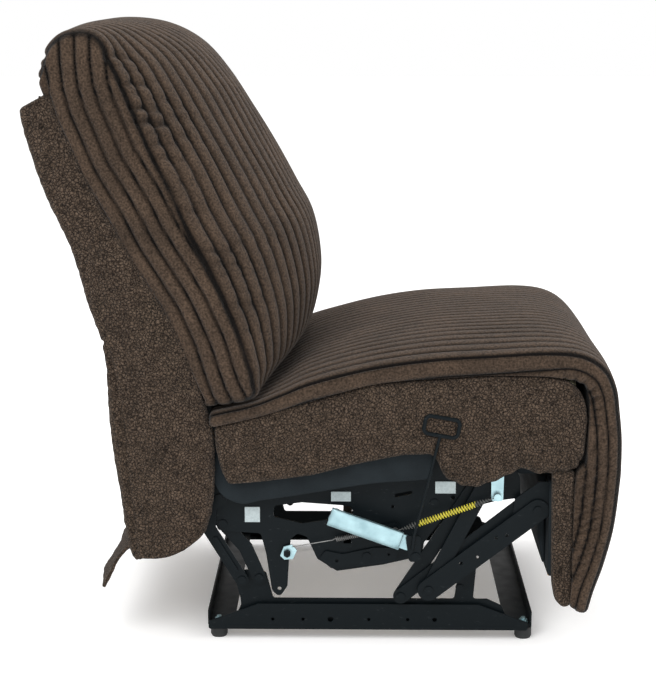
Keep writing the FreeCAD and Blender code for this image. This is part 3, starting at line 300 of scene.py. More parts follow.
def deselect() -> None:
    """Leave nothing selected, as the loaded frame leaves its nodes selected."""
    if bpy.context.object is not None and bpy.context.object.mode != "OBJECT":
        bpy.ops.object.mode_set(mode="OBJECT")
    bpy.ops.object.select_all(action="DESELECT")


def activate(piece: bpy.types.Object) -> None:
    """Select one piece alone and make it active.

    Args:
        piece: The piece.
    """
    deselect()
    piece.select_set(True)
    bpy.context.view_layer.objects.active = piece


def grid_piece(name: str, points: np.ndarray, datum: float, closed: bool = False,
               relief: np.ndarray | None = None) -> bpy.types.Object:
    """A grid primitive whose points are laid on a surface.

    Args:
        name: The piece's name.
        points: Rows by columns by three, in millimetres of the side view.
        datum: Where the base's middle lies in the frame, in metres.
        closed: Whether the last column meets the first and both ends are filled.
        relief: Height of the surface's ribs from 0 to 1, kept as an attribute from which the material
            paints shade into the grooves.

    Returns:
        The new piece.
    """
    rows, columns = points.shape[:2]
    deselect()
    bpy.ops.mesh.primitive_grid_add(x_subdivisions=columns - 1, y_subdivisions=rows - 1, size=1.0)
    piece = bpy.context.object
    piece.name = name
    piece.data.name = name
    metres = points * MM + np.array([datum, 0.0, 0.0])
    piece.data.vertices.foreach_set("co", metres.reshape(-1))
    if relief is not None:
        layer = piece.data.attributes.new("relief", "FLOAT", "POINT")
        layer.data.foreach_set("value", relief.reshape(-1).astype(np.float32))
    piece.data.update()
    bpy.ops.object.mode_set(mode="EDIT")
    bpy.ops.mesh.select_all(action="SELECT")
    if closed:
        bpy.ops.mesh.remove_doubles(threshold=0.00002)
        bpy.ops.mesh.fill_holes(sides=0)
    bpy.ops.mesh.select_all(action="SELECT")
    bpy.ops.mesh.normals_make_consistent(inside=False)
    bpy.ops.object.mode_set(mode="OBJECT")
    bpy.ops.object.shade_smooth()
    return piece


def solidify(piece: bpy.types.Object, thickness: float, offset: float = -1.0) -> None:
    """Give a sheet its thickness.

    Args:
        piece: The sheet.
        thickness: In millimetres.
        offset: -1 thickens inwards and 1 outwards.
    """
    activate(piece)
    wall = piece.modifiers.new("wall", "SOLIDIFY")
    wall.thickness = thickness * MM
    wall.offset = offset
    bpy.ops.object.modifier_apply(modifier=wall.name)


# Finishes


def grey(value: float) -> Colour:
    """A neutral linear colour."""
    return value, value, value


class Shader:
    """Builds one node material step by step."""

    def __init__(self, name: str) -> None:
        """Start a material with a Principled shader and object coordinates."""
        self.material = bpy.data.materials.new(name)
        self.material.use_nodes = True
        self.tree = self.material.node_tree
        self.surface = self.tree.nodes["Principled BSDF"]
        self.place = self.add("ShaderNodeTexCoord").outputs["Object"]

    def feed(self, target: Any, value: Any) -> None:
        """Give an input its value.

        Args:
            target: The input.
            value: An output to follow, a linear colour or a plain value.
        """
        if isinstance(value, bpy.types.NodeSocket):
            self.tree.links.new(value, target)
        elif target.type == "RGBA":
            target.default_value = (*value, 1.0)
        else:
            target.default_value = value

    def add(self, kind: str, inputs: dict[Any, Any] | None = None, **settings: Any) -> bpy.types.Node:
        """Add a node.

        Args:
            kind: The node's type.
            inputs: What its inputs are fed, by name or number.
            **settings: Its properties.

        Returns:
            The node.
        """
        node = self.tree.nodes.new(kind)
        for key, value in settings.items():
            setattr(node, key, value)
        for key, value in (inputs or {}).items():
            self.feed(node.inputs[key], value)
        return node

    def noise(self, scale: float, detail: float = 3.0, place: Any = None) -> Any:
        """Noise texture on object coordinates.

        Args:
            scale: Waves in a metre.
            detail: Octaves.
            place: Other coordinates, if any.

        Returns:
            The texture's value output.
        """
        inputs = {"Scale": scale, "Detail": detail, "Vector": place or self.place}
        return self.add("ShaderNodeTexNoise", inputs).outputs["Fac"]

    def stretched(self, scale: Triple, turn: float = 0.0) -> Any:
        """Object coordinates stretched along each axis, and turned in the side view."""
        inputs = {"Scale": scale, "Rotation": (0.0, turn, 0.0), "Vector": self.place}
        return self.add("ShaderNodeMapping", inputs).outputs["Vector"]

    def cells(self, scale: float, feature: str, place: Any) -> Any:
        """Distance output of a cell texture."""
        node = self.add("ShaderNodeTexVoronoi", {"Scale": scale, "Vector": place}, feature=feature)
        return node.outputs["Distance"]

    def ramp(self, value: Any, stops: Sequence[tuple[float, Colour]]) -> Any:
        """Colour ramp of a value.

        Args:
            value: The output that drives it.
            stops: Places from 0 to 1 with linear colours.

        Returns:
            The ramp's colour output.
        """
        node = self.add("ShaderNodeValToRGB", {"Fac": value})
        band = node.color_ramp
        while len(band.elements) < len(stops):
            band.elements.new(0.5)
        for element, (place, colour) in zip(band.elements, stops):
            element.position = place
            element.color = (*colour, 1.0)
        return node.outputs["Color"]

    def mix(self, share: Any, first: Any, second: Any, blend: str = "MIX") -> Any:
        """Mix of two colours.

        Args:
            share: An output or a number.
            first: An output or a linear colour.
            second: An output or a linear colour.
            blend: How they are mixed.

        Returns:
            The mixed colour.
        """
        inputs = {0: share, 6: first, 7: second}
        return self.add("ShaderNodeMix", inputs, data_type="RGBA", blend_type=blend).outputs[2]

    def tint(self, colour: Any, value: Any, stops: Sequence[tuple[float, Colour]]) -> Any:
        """A colour multiplied by the colour ramp of a value."""
        return self.mix(1.0, colour, self.ramp(value, stops), "MULTIPLY")

    def math(self, operation: str, *values: Any) -> Any:
        """One sum of numbers or outputs."""
        return self.add("ShaderNodeMath", dict(enumerate(values)), operation=operation).outputs[0]

    def bump(self, layers: Sequence[tuple[Any, float, float]]) -> None:
        """Bump layers on top of each other.

        Args:
            layers: Height output, strength and depth in millimetres for each.
        """
        normal = None
        for height, strength, depth in layers:
            inputs = {"Strength": strength, "Distance": depth * MM, "Height": height}
            node = self.add("ShaderNodeBump", inputs)
            if normal is not None:
                self.feed(node.inputs["Normal"], normal)
            normal = node.outputs["Normal"]
        self.feed(self.surface.inputs["Normal"], normal)

    def finish(self, colour: Any, roughness: Any, **sockets: Any) -> bpy.types.Material:
        """Set the shader's main inputs.

        Args:
            colour: An output or a linear colour.
            roughness: An output or a number.
            **sockets: Other inputs by name, with underscores for spaces.

        Returns:
            The finished material.
        """
        self.feed(self.surface.inputs["Base Color"], colour)
        self.feed(self.surface.inputs["Roughness"], roughness)
        for key, value in sockets.items():
            self.feed(self.surface.inputs[key.replace("_", " ")], value)
        return self.material


@dataclass(frozen=True)
class RibbedPlush:
    """Brown pile fabric with painted shade on the rib flanks, grooves and puckers, and patches where the
    nap lies the other way.
    """

    crest: Colour = (0.053, 0.036, 0.025)
    flank: Colour = (0.030, 0.020, 0.0135)
    groove: Colour = (0.0035, 0.0025, 0.002)
    pile_waves: float = 1500.0
    tuft_waves: float = 300.0
    nap_waves: float = 14.0

    def material(self) -> bpy.types.Material:
        """Build the plush material."""
        shader = Shader("ribbed_plush")
        relief = shader.add("ShaderNodeAttribute", attribute_name="relief").outputs["Fac"]
        pile = shader.noise(self.pile_waves, 4.0)
        tufts = shader.noise(self.tuft_waves, 4.0)
        nap = shader.noise(self.nap_waves)
        # Painted shade: this ramp darkens the flanks and grooves of the ribs, and the puckers, from the
        # relief attribute.
        fold = shader.ramp(relief, [(0.40, self.groove), (0.70, self.flank), (0.94, self.crest)])
        colour = shader.tint(fold, nap, [(0.3, grey(0.80)), (0.7, (1.12, 1.10, 1.08))])
        colour = shader.tint(colour, tufts, [(0.32, grey(0.45)), (0.68, grey(1.45))])
        shader.bump([(nap, 0.25, 2.5), (tufts, 0.85, 2.2), (pile, 0.8, 0.8)])
        return shader.finish(colour, 0.95, Sheen_Weight=0.10, Sheen_Roughness=0.5, Specular_IOR_Level=0.06)


@dataclass(frozen=True)
class NubbyCloth:
    """Looped brown-grey cloth with small curls that stand up, lighter on top, and painted shade in the pits
    between them.
    """

    curl: Colour = (0.122, 0.088, 0.064)
    body: Colour = (0.062, 0.044, 0.031)
    pit: Colour = (0.010, 0.007, 0.005)
    curl_cells: float = 200.0
    loop_cells: float = 420.0
    patch_waves: float = 45.0
    wander_waves: float = 130.0
    wander_share: float = 0.006

    def material(self) -> bpy.types.Material:
        """Build the looped cloth material."""
        shader = Shader("nubby_cloth")
        wander = shader.add("ShaderNodeTexNoise", {"Scale": self.wander_waves, "Vector": shader.place})
        inputs = {0: self.wander_share, 4: shader.place, 5: wander.outputs["Color"]}
        place = shader.add("ShaderNodeMix", inputs, data_type="VECTOR").outputs[1]
        height = shader.math("POWER", shader.cells(self.curl_cells, "DISTANCE_TO_EDGE", place), 0.6)
        small = shader.math("SUBTRACT", 1.0, shader.cells(self.loop_cells, "F1", place))
        mixed = shader.math("MULTIPLY", height, small)
        # Painted shade: this ramp darkens the pits between the curls and lightens the curls where they
        # stand up.
        colour = shader.ramp(mixed, [(0.03, self.pit), (0.17, self.body), (0.44, self.curl)])
        patch = shader.noise(self.patch_waves, 4.0)
        colour = shader.tint(colour, patch, [(0.3, grey(0.70)), (0.7, (1.16, 1.15, 1.14))])
        shader.bump([(height, 0.9, 3.2), (small, 0.7, 1.4), (shader.noise(1400.0), 0.4, 0.3)])
        return shader.finish(colour, 0.95, Sheen_Weight=0.06, Sheen_Roughness=0.5, Specular_IOR_Level=0.06)


@dataclass(frozen=True)
class WovenCloth:
    """Thin slate-black cloth with a fine even weave."""

    thread: Colour = (0.020, 0.026, 0.030)
    gap: Colour = (0.008, 0.011, 0.013)
    thread_waves: float = 300.0
    dust_waves: float = 25.0
    slack_waves: float = 60.0

    def material(self) -> bpy.types.Material:
        """Build the woven material."""
        shader = Shader("woven_cloth")
        inputs = {"Scale": self.thread_waves, "Distortion": 0.6, "Vector": shader.place}
        warp = shader.add("ShaderNodeTexWave", inputs, bands_direction="X").outputs["Fac"]
        weft = shader.add("ShaderNodeTexWave", inputs, bands_direction="Z").outputs["Fac"]
        weave = shader.math("MULTIPLY", warp, weft)
        colour = shader.ramp(weave, [(0.1, self.gap), (0.7, self.thread)])
        dust = shader.noise(self.dust_waves, 4.0)
        colour = shader.tint(colour, dust, [(0.3, grey(0.85)), (0.7, grey(1.2))])
        shader.bump([(weave, 0.25, 0.3), (shader.noise(self.slack_waves), 0.2, 1.5)])
        return shader.finish(colour, 0.85, Specular_IOR_Level=0.12)


@dataclass(frozen=True)
class PowderCoat:
    """Charcoal powder coat with fine orange peel and faint scuffs."""

    coat: Colour = (0.0038, 0.0062, 0.0076)
    scuff: Colour = (0.022, 0.026, 0.028)
    scuff_waves: float = 90.0
    gloss_waves: float = 35.0
    peel_waves: float = 1100.0

    def material(self) -> bpy.types.Material:
        """Build the coated steel material."""
        shader = Shader("powder_coat")
        marks = shader.noise(self.scuff_waves, 8.0, shader.stretched((1.0, 1.0, 3.0), 0.5))
        colour = shader.ramp(marks, [(0.45, self.coat), (0.66, self.coat), (0.76, self.scuff)])
        gloss = shader.math("MULTIPLY_ADD", shader.noise(self.gloss_waves), 0.25, 0.30)
        shader.bump([(shader.noise(self.peel_waves, 2.0), 0.12, 0.2)])
        return shader.finish(colour, gloss, Specular_IOR_Level=0.09)


@dataclass(frozen=True)
class ZincPlate:
    """Bright zinc plating, pale cyan-grey, rolled along its length."""

    plate: Colour = (0.40, 0.58, 0.62)
    dull: Colour = (0.26, 0.40, 0.44)
    grain_waves: float = 260.0
    bloom_waves: float = 40.0

    def material(self) -> bpy.types.Material:
        """Build the plated steel material."""
        shader = Shader("zinc_plate")
        grain = shader.noise(self.grain_waves, 3.0, shader.stretched((0.15, 1.0, 2.0), -0.42))
        colour = shader.ramp(shader.noise(self.bloom_waves, 4.0), [(0.3, self.dull), (0.65, self.plate)])
        gloss = shader.math("MULTIPLY_ADD", grain, 0.25, 0.25)
        shader.bump([(grain, 0.1, 0.2)])
        return shader.finish(colour, gloss, Metallic=0.75)


@dataclass(frozen=True)
class SpringPaint:
    """Coil spring painted yellow over its middle turns and left dark at both ends."""

    datum: float
    rear: float = 77.0
    front: float = 176.0
    paint: Colour = (0.66, 0.58, 0.05)
    worn: Colour = (0.40, 0.36, 0.04)
    wire: Colour = (0.06, 0.062, 0.058)

    def material(self) -> bpy.types.Material:
        """Build the two-coloured spring material."""
        shader = Shader("spring_paint")
        x = shader.add("ShaderNodeSeparateXYZ", {0: shader.place}).outputs["X"]
        behind = shader.math("GREATER_THAN", x, self.datum + self.rear * MM)
        before = shader.math("LESS_THAN", x, self.datum + self.front * MM)
        painted = shader.math("MULTIPLY", behind, before)
        paint = shader.ramp(shader.noise(500.0), [(0.35, self.worn), (0.6, self.paint)])
        shader.bump([(shader.noise(900.0), 0.1, 0.1)])
        return shader.finish(shader.mix(painted, self.wire, paint), 0.38, Specular_IOR_Level=0.5)


@dataclass(frozen=True)
class PlainFinish:
    """A finish of one hue, with grain, mottle and gloss of its own."""

    name: str
    light: Colour
    dark: Colour
    roughness: float
    grain_scale: float
    grain_depth: float
    metallic: float = 0.0
    stretch: Triple = (1.0, 1.0, 1.0)

    def material(self) -> bpy.types.Material:
        """Build the material."""
        shader = Shader(self.name)
        grain = shader.noise(self.grain_scale, 5.0, shader.stretched(self.stretch))
        mottle = shader.noise(self.grain_scale * 0.12, 3.0)
        both = shader.math("MULTIPLY_ADD", grain, 0.6, shader.math("MULTIPLY", mottle, 0.4))
        colour = shader.ramp(both, [(0.35, self.dark), (0.65, self.light)])
        gloss = shader.math("MULTIPLY_ADD", grain, 0.15, self.roughness)
        shader.bump([(grain, 0.4, self.grain_depth)])
        return shader.finish(colour, gloss, Metallic=self.metallic)


class Wardrobe:
    """All finishes of the chair, one for each slot of the record."""

    def __init__(self, datum: float) -> None:
        """Build every material once.

        Args:
            datum: Where the base's middle lies in the frame, in metres.
        """
        finishes = {
            Slot.PLUSH: RibbedPlush(),
            Slot.BOUCLE: NubbyCloth(),
            Slot.BLACK_CLOTH: WovenCloth(),
            Slot.BLACK_STEEL: PowderCoat(),
            Slot.ZINC_STEEL: ZincPlate(),
            Slot.SPRING_YELLOW: SpringPaint(datum),
            Slot.WIRE_STEEL: PlainFinish("oiled_wire", (0.30, 0.30, 0.29), grey(0.13), 0.35,
                                         700.0, 0.1, 0.9),
            Slot.CLIP_WHITE: PlainFinish("clip_plastic", (0.44, 0.51, 0.52), (0.32, 0.38, 0.39), 0.45,
                                         300.0, 0.1),
            Slot.FOOT_BLACK: PlainFinish("foot_plastic", (0.014, 0.016, 0.017), (0.008, 0.009, 0.010), 0.6,
                                         400.0, 0.3),
            Slot.TIMBER: PlainFinish("raw_timber", (0.50, 0.35, 0.20), (0.30, 0.19, 0.10), 0.7, 160.0, 0.4,
                                     stretch=(1.0, 0.08, 1.0)),
            Slot.FOAM: PlainFinish("cut_foam", (0.66, 0.60, 0.42), (0.50, 0.44, 0.28), 0.9, 500.0, 0.8),
        }
        self.materials = {slot: finish.material() for slot, finish in finishes.items()}

    def dress(self, piece: bpy.types.Object, slot: Slot) -> None:
        """Give a new piece its finish and report the piece.

        Args:
            piece: The new piece.
            slot: Which finish it has.
        """
        piece.data.materials.clear()
        piece.data.materials.append(self.materials[slot])
        LOG.info("%s: %d faces", piece.name, len(piece.data.polygons))

    def dress_frame(self, nodes: dict[str, bpy.types.Object]) -> None:
        """Give each carried-over node the finish of its slot."""
        for node in nodes.values():
            for place in node.material_slots:
                place.material = self.materials[Slot(place.material.name.split(".")[0])]


# Upholstery


@dataclass
class Maker:
    """What makes new pieces: it knows the place of the base's middle, and the finishes."""

    datum: float
    wardrobe: Wardrobe


@dataclass
class RibbedCushion(Maker):
    """A cushion in plush whose surface carries ribs."""

    def raise_ribs(self, name: str, base: np.ndarray, middles: np.ndarray, lift: np.ndarray,
                   shade: np.ndarray) -> bpy.types.Object:
        """Make the cushion from its surface.

        Args:
            name: The piece's name.
            base: The closed surface before its ribs.
            middles: One inner point for each row.
            lift: How far each point rises.
            shade: Height of the ribs less the pull of puckers or folds, from 0 to 1; the material paints
                shade from it.

        Returns:
            The cushion, dressed.
        """
        points = base + outward_normals(base, middles) * lift[:, :, None]
        points[:, -1] = points[:, 0]
        piece = grid_piece(name, points, self.datum, True, np.clip(shade, 0, 1))
        self.wardrobe.dress(piece, Slot.PLUSH)
        return piece


@dataclass
class BackCushion(RibbedCushion):
    """Tall ribbed cushion of the back: two sides with ribs of their own, and one front over the top."""

    half: float = HALF_WIDTH - 7.0
    tuck: float = 11.0
    crown_power: float = 2.4
    edge_range: Place = (0.3, 0.96)
    usual_depth: float = 230.0
    least_depth: float = 40.0
    rib_width: float = 24.4
    rib_height: float = 8.5
    front_ribs: int = 28
    rows: int = 210
    fine_columns: int = 400
    side_columns: int = 34
    rear_columns: int = 10
    rib_columns: int = 8
    cap_rings: int = 6
    end_radius: float = 15.0
    bead_pitch: float = 21.0
    bead_depth: float = 3.2
    pucker_width: float = 6.5
    deepest_pull: float = 8.0
    stations: list[tuple[float, ...]] = field(default_factory=lambda: [
        (-276, 444, -192, 458, 0.90), (-283, 458, -160, 480, 0.66), (-291, 476, -120, 528, 0.49),
        (-316, 532, -101, 598, 0.42), (-343, 592, -101, 655, 0.39), (-374, 646, -115, 721, 0.38),
        (-408, 700, -143, 774, 0.39), (-439, 761, -179, 839, 0.41), (-474, 823, -219, 907, 0.43),
        (-493, 869, -257, 966, 0.45), (-512, 915, -307, 1021, 0.50), (-521, 946, -368, 1052, 0.60),
        (-524, 958, -440, 1060, 0.84), (-526, 962, -492, 1050, 0.93), (-527, 962, -522, 1024, 0.95),
        (-528, 955, -535, 984, 0.95)])
    shell_line: list[Place] = field(default_factory=lambda: [
        (-255, 380), (-290, 443), (-301, 474), (-317, 528), (-344, 589), (-375, 643), (-409, 697),
        (-440, 758), (-475, 820), (-494, 866), (-513, 912), (-525, 955), (-530, 1000), (-531, 1090)])
    puckers: list[Triple] = field(default_factory=lambda: [
        (1010, 5.0, 2.2), (968, 4.5, 2.0), (930, 6.0, 3.6), (906, 6.5, 3.4), (872, 5.0, 3.0),
        (846, 4.0, 2.6), (806, 3.0, 2.0), (762, 3.5, 2.2), (694, 5.0, 4.2), (672, 4.0, 2.4),
        (604, 4.5, 3.2), (560, 3.0, 2.0)])

    def profile(self, edge: float) -> np.ndarray:
        """Closed section: side, front, other side and rear.

        Args:
            edge: Share of the section's depth at which the side turns into the front.

        Returns:
            Rows of sideways place, share of the depth, and a mark: -2 to -1 up a side, REAR_MARK
            behind, and FRONT_MARK with the ribs counted from there along the front.
        """
        turn = np.linspace(0, 1, self.side_columns)
        outward = self.half - self.tuck + self.tuck * np.sin(math.pi / 2 * turn ** 0.7)
        side = np.stack([-outward, edge * turn, turn - 2], axis=1)
        across = np.linspace(-1, 1, self.fine_columns)
        depth = edge + (1 - edge) * (1 - np.abs(across) ** self.crown_power)
        ribs = np.linspace(0, self.front_ribs, self.front_ribs * self.rib_columns + 1)
        fine = np.stack([across * self.half, depth * self.usual_depth, depth], axis=1)
        front = np.column_stack([even_line(fine, len(ribs))[:, [0, 2]], ribs + FRONT_MARK])
        other = side[::-1] * np.array([-1, 1, 1])
        back = np.linspace(1, -1, self.rear_columns + 2)[1:-1] * (self.half - self.tuck)
        rear = np.stack([back, np.zeros_like(back), np.full_like(back, REAR_MARK)], axis=1)
        return np.vstack([side[:-1], front, other[1:], rear, side[:1]])

    def surface(self) -> tuple[np.ndarray, np.ndarray, np.ndarray]:
        """Smooth surface before its ribs.

        Returns:
            The grid of points, the marks of its columns, and the middle of each row.
        """
        points, middles = [], []
        for row, neighbour, turn in capped_rows(self.stations, self.rows, self.cap_rings):
            near, far = row[:2], row[2:4]
            section = self.profile(float(np.clip(row[4], *self.edge_range)))
            depth = np.linalg.norm(far - near)
            inset = self.end_radius * (1 - math.cos(turn * math.pi / 2))
            share = 0.5 + (section[:, 1] - 0.5) * max(0.1, 1 - 2 * inset / max(depth, self.least_depth))
            place = near + share[:, None] * (far - near)
            if turn > 0:
                back = (row[:4] - neighbour[:4]).reshape(2, 2).mean(axis=0)
                back /= np.linalg.norm(back)
                place = place + back * self.end_radius * math.sin(turn * math.pi / 2)
            points.append(spread(place, section[:, 0] * (1 - inset / self.half)))
            centre = near + 0.45 * (far - near)
            middles.append([centre[0], 0.0, centre[1]])
        return np.array(points), section[:, 2], np.array(middles)

    def relief(self, points: np.ndarray, marks: np.ndarray) -> np.ndarray:
        """Height of the ribs over the surface.

        Args:
            points: The surface's grid.
            marks: The columns' marks.

        Returns:
            Heights from 0 in the grooves to 1.
        """
        on_front = marks >= FRONT_MARK
        on_side = (marks < 0) & (marks > REAR_MARK)
        wander = ripple(points, 160.0, 3) * 0.06
        front = rib_relief(marks - FRONT_MARK + wander)
        away = distance_to_line(points[:, :, 0], points[:, :, 2], self.shell_line)
        side = rib_relief(away / self.rib_width + wander)
        side = side * np.clip((-marks - 1) * 14.0, 0.0, 1.0) ** 0.5
        return fade_ends(np.where(on_front, front, np.where(on_side, side, 0.0)), self.cap_rings)

    def gather(self, points: np.ndarray, marks: np.ndarray) -> np.ndarray:
        """Pull of the puckers beside the seams.

        Args:
            points: The surface's grid.
            marks: The columns' marks.

        Returns:
            How far each point is pulled in.
        """
        rib = np.clip(marks - FRONT_MARK, 0, self.front_ribs)
        from_seam = np.minimum(rib, self.front_ribs - rib)
        height = points[:, :, 2] + 5.0 * np.sin(np.floor(from_seam) * 2.4) + 2.5 * ripple(points, 40.0, 8)
        pull = np.zeros(points.shape[:2])
        for level, depth, reach in self.puckers:
            fade = np.exp(-(from_seam / reach) ** 2)
            pull += depth * fade * np.exp(-((height - level) / self.pucker_width) ** 2)
        wave = (0.5 + 0.5 * np.sin(2 * math.pi * height / self.bead_pitch + 1.7 * np.floor(from_seam))) ** 3
        upper = np.exp(-((height - 935) / 75.0) ** 4) + 0.6 * np.exp(-((height - 640) / 50.0) ** 4)
        pull += self.bead_depth * wave * upper * np.exp(-(from_seam / 2.8) ** 4)
        return np.where(marks >= FRONT_MARK, np.minimum(pull, self.deepest_pull), 0.0)

    def build(self) -> None:
        """Make the cushion."""
        base, marks, middles = self.surface()
        relief = self.relief(base, marks)
        pull = self.gather(base, marks)
        lift = self.rib_height * relief - pull + 1.6 * ripple(base, 210.0, 5)
        lift[:, marks == REAR_MARK] = 0.0
        # The relief handed to the material is lowered by the puckers' pull, which paints shade into the
        # puckers.
        piece = self.raise_ribs("ribbed_back_cushion", base, middles, lift, relief - pull / 26.0)
        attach(piece, "back")
        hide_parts("back_cushion")


@dataclass
class ChaisePad(RibbedCushion):
    """One ribbed pad over the seat, round the front edge and down the footrest."""

    half: float = HALF_WIDTH - 3.0
    rib_height: float = 5.5
    roll_height: float = 4.0
    ribs: int = 26
    rib_columns: int = 8
    side_columns: int = 26
    under_columns: int = 12
    rows: int = 226
    cap_rings: int = 5
    end_radius: float = 12.0
    fold_pitch: float = 13.0
    fold_depth: float = 5.5
    stations: list[tuple[float, ...]] = field(default_factory=lambda: [
        (-266, 402, -266, 418, 2, 22), (-200, 417, -200, 434, 4, 24), (-150, 430, -150, 454, 8, 26),
        (-100, 445, -100, 474, 14, 28), (0, 475, 0, 499, 20, 30), (98, 483, 98, 514, 22, 30),
        (198, 489, 198, 521, 22, 30), (283, 489, 290, 526, 20, 28), (322, 484, 346, 521, 13, 24),
        (350, 474, 382, 500, 7, 21), (361, 455, 400, 466, 4, 19), (364, 420, 407, 424, 4, 18),
        (363, 380, 412, 380, 4, 18), (359, 338, 413, 334, 4, 18), (344, 312, 412, 304, 4, 18),
        (342, 230, 405, 228, 4, 18), (342, 168, 390, 164, 4, 18), (343, 124, 374, 114, 4, 18),
        (341, 94, 366, 80, 3, 18)])

    def section(self, row: np.ndarray) -> tuple[np.ndarray, np.ndarray]:
        """One closed section of the pad.

        Args:
            row: Near place, far place, rise in the middle, and width of the side's rolls.

        Returns:
            The section's points, and rows of (region, phase) for its columns.
        """
        near, far, rise, roll = row[0:2], row[2:4], row[4], row[5]
        depth = float(np.linalg.norm(far - near))
        out = (far - near) / depth
        across = np.linspace(-1, 1, self.ribs * self.rib_columns + 1)
        lift = rise * (1 - np.abs(across) ** 4)
        top = spread(far + lift[:, None] * out, across * self.half)
        turn = np.linspace(0, 1, self.side_columns)
        bulge = self.half - 7.0 * (1 - np.sin(math.pi * (0.12 + 0.60 * turn)))
        bulge = np.where(turn > 0.93, bulge - (turn - 0.93) * 20, bulge)
        right = spread(near + turn[:, None] * (far - near), -bulge)
        left = right[::-1] * np.array([1, -1, 1])
        under = np.linspace(1, -1, self.under_columns + 2)[1:-1] * bulge[0]
        low = spread(np.tile(near, (len(under), 1)), under)
        points = np.vstack([right[:-1], top, left[1:], low, right[:1]])
        rolls = (1 - turn) * depth / roll
        marks = np.concatenate([rolls[:-1], (across + 1) / 2 * self.ribs, rolls[::-1][1:],
                                np.zeros(len(under)), rolls[:1]])
        region = np.repeat([Region.SIDE, Region.TOP, Region.SIDE, Region.UNDER, Region.SIDE],
                           [len(turn) - 1, len(across), len(turn) - 1, len(under), 1])
        return points, np.stack([region, marks], axis=1)

    def grid(self) -> tuple[np.ndarray, np.ndarray, np.ndarray]:
        """Surface before its ribs, with rounded ends.

        Returns:
            Points, regions with phases, and the middle of each row.
        """
        points, marks, middles = [], [], []
        for row, neighbour, turn in capped_rows(self.stations, self.rows, self.cap_rings):
            section, mark = self.section(row)
            middle = np.array([(row[0] + row[2]) / 2, 0.0, (row[1] + row[3]) / 2])
            if turn > 0:
                back = np.array([row[2] - neighbour[2], 0.0, row[3] - neighbour[3]])
                back /= np.linalg.norm(back)
                depth = np.linalg.norm(row[2:4] - row[0:2])
                radius = min(self.end_radius, depth * 0.45)
                inset = radius * (1 - math.cos(turn * math.pi / 2))
                scale = np.array([1 - 2 * inset / depth, 1 - inset / self.half, 1 - 2 * inset / depth])
                section = middle + (section - middle) * scale + back * radius * math.sin(turn * math.pi / 2)
            points.append(section)
            marks.append(mark)
            middles.append(middle)
        return np.array(points), np.array(marks), np.array(middles)
    def relief(self, points: np.ndarray, marks: np.ndarray) -> np.ndarray:
        """Height of ribs on top and of rolls along the sides.

        Args:
            points: The surface's grid.
            marks: Region and phase of each point.

        Returns:
            Heights from 0 in the grooves to 1.
        """
        region, phase = marks[:, :, 0], marks[:, :, 1]
        wander = ripple(points, 190.0, 11) * 0.05
        top = rib_relief(phase + np.where((phase > 0.3) & (phase < self.ribs - 0.3), wander, 0.0))
        side = rib_relief(phase + 0.02)
        relief = np.where(region == Region.TOP, top, np.where(region == Region.SIDE, side, 0.0))
        return fade_ends(relief, self.cap_rings)

    def gather(self, points: np.ndarray, marks: np.ndarray) -> np.ndarray:
        """Pull of small folds in the inner rolls, round the front edge and down the footrest.

        Args:
            points: The surface's grid.
            marks: Region and phase of each point.

        Returns:
            How far each point is pulled in.
        """
        region, phase = marks[:, :, 0], marks[:, :, 1]
        height = points[:, :, 2]
        forward = points[:, :, 0]
        reach = np.arctan2(height - 400, forward - 300) * 70 + np.where(height < 400, 400 - height, 0.0)
        nose = np.exp(-((height - 450) / 50.0) ** 2) * (forward > 318)
        strip = 0.85 * np.exp(-((height - 230) / 120.0) ** 2) * (forward > 330)
        folds = 0.5 + 0.5 * np.sin(reach * 2 * math.pi / self.fold_pitch + 1.2 * ripple(points, 30.0, 21))
        inner = np.clip((phase - 1.0) * 2.0, 0, 1)
        return np.where(region == Region.SIDE, self.fold_depth * folds * inner * (nose + strip), 0.0)

    def build(self) -> None:
        """Make the pad, which bends from the seat to the footrest."""
        base, marks, middles = self.grid()
        relief = self.relief(base, marks)
        pull = self.gather(base, marks)
        region = marks[:, :, 0]
        height = np.where(region == Region.SIDE, self.roll_height, self.rib_height)
        lift = height * relief - pull + 1.2 * ripple(base, 230.0, 15)
        lift[region == Region.UNDER] = 0.0
        # The relief handed to the material is lowered by the folds' pull, which paints shade into the
        # folds.
        piece = self.raise_ribs("ribbed_chaise_pad", base, middles, lift, relief - pull / 20.0)
        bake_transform(piece)
        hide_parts("seat_cushion", "footrest_pad")


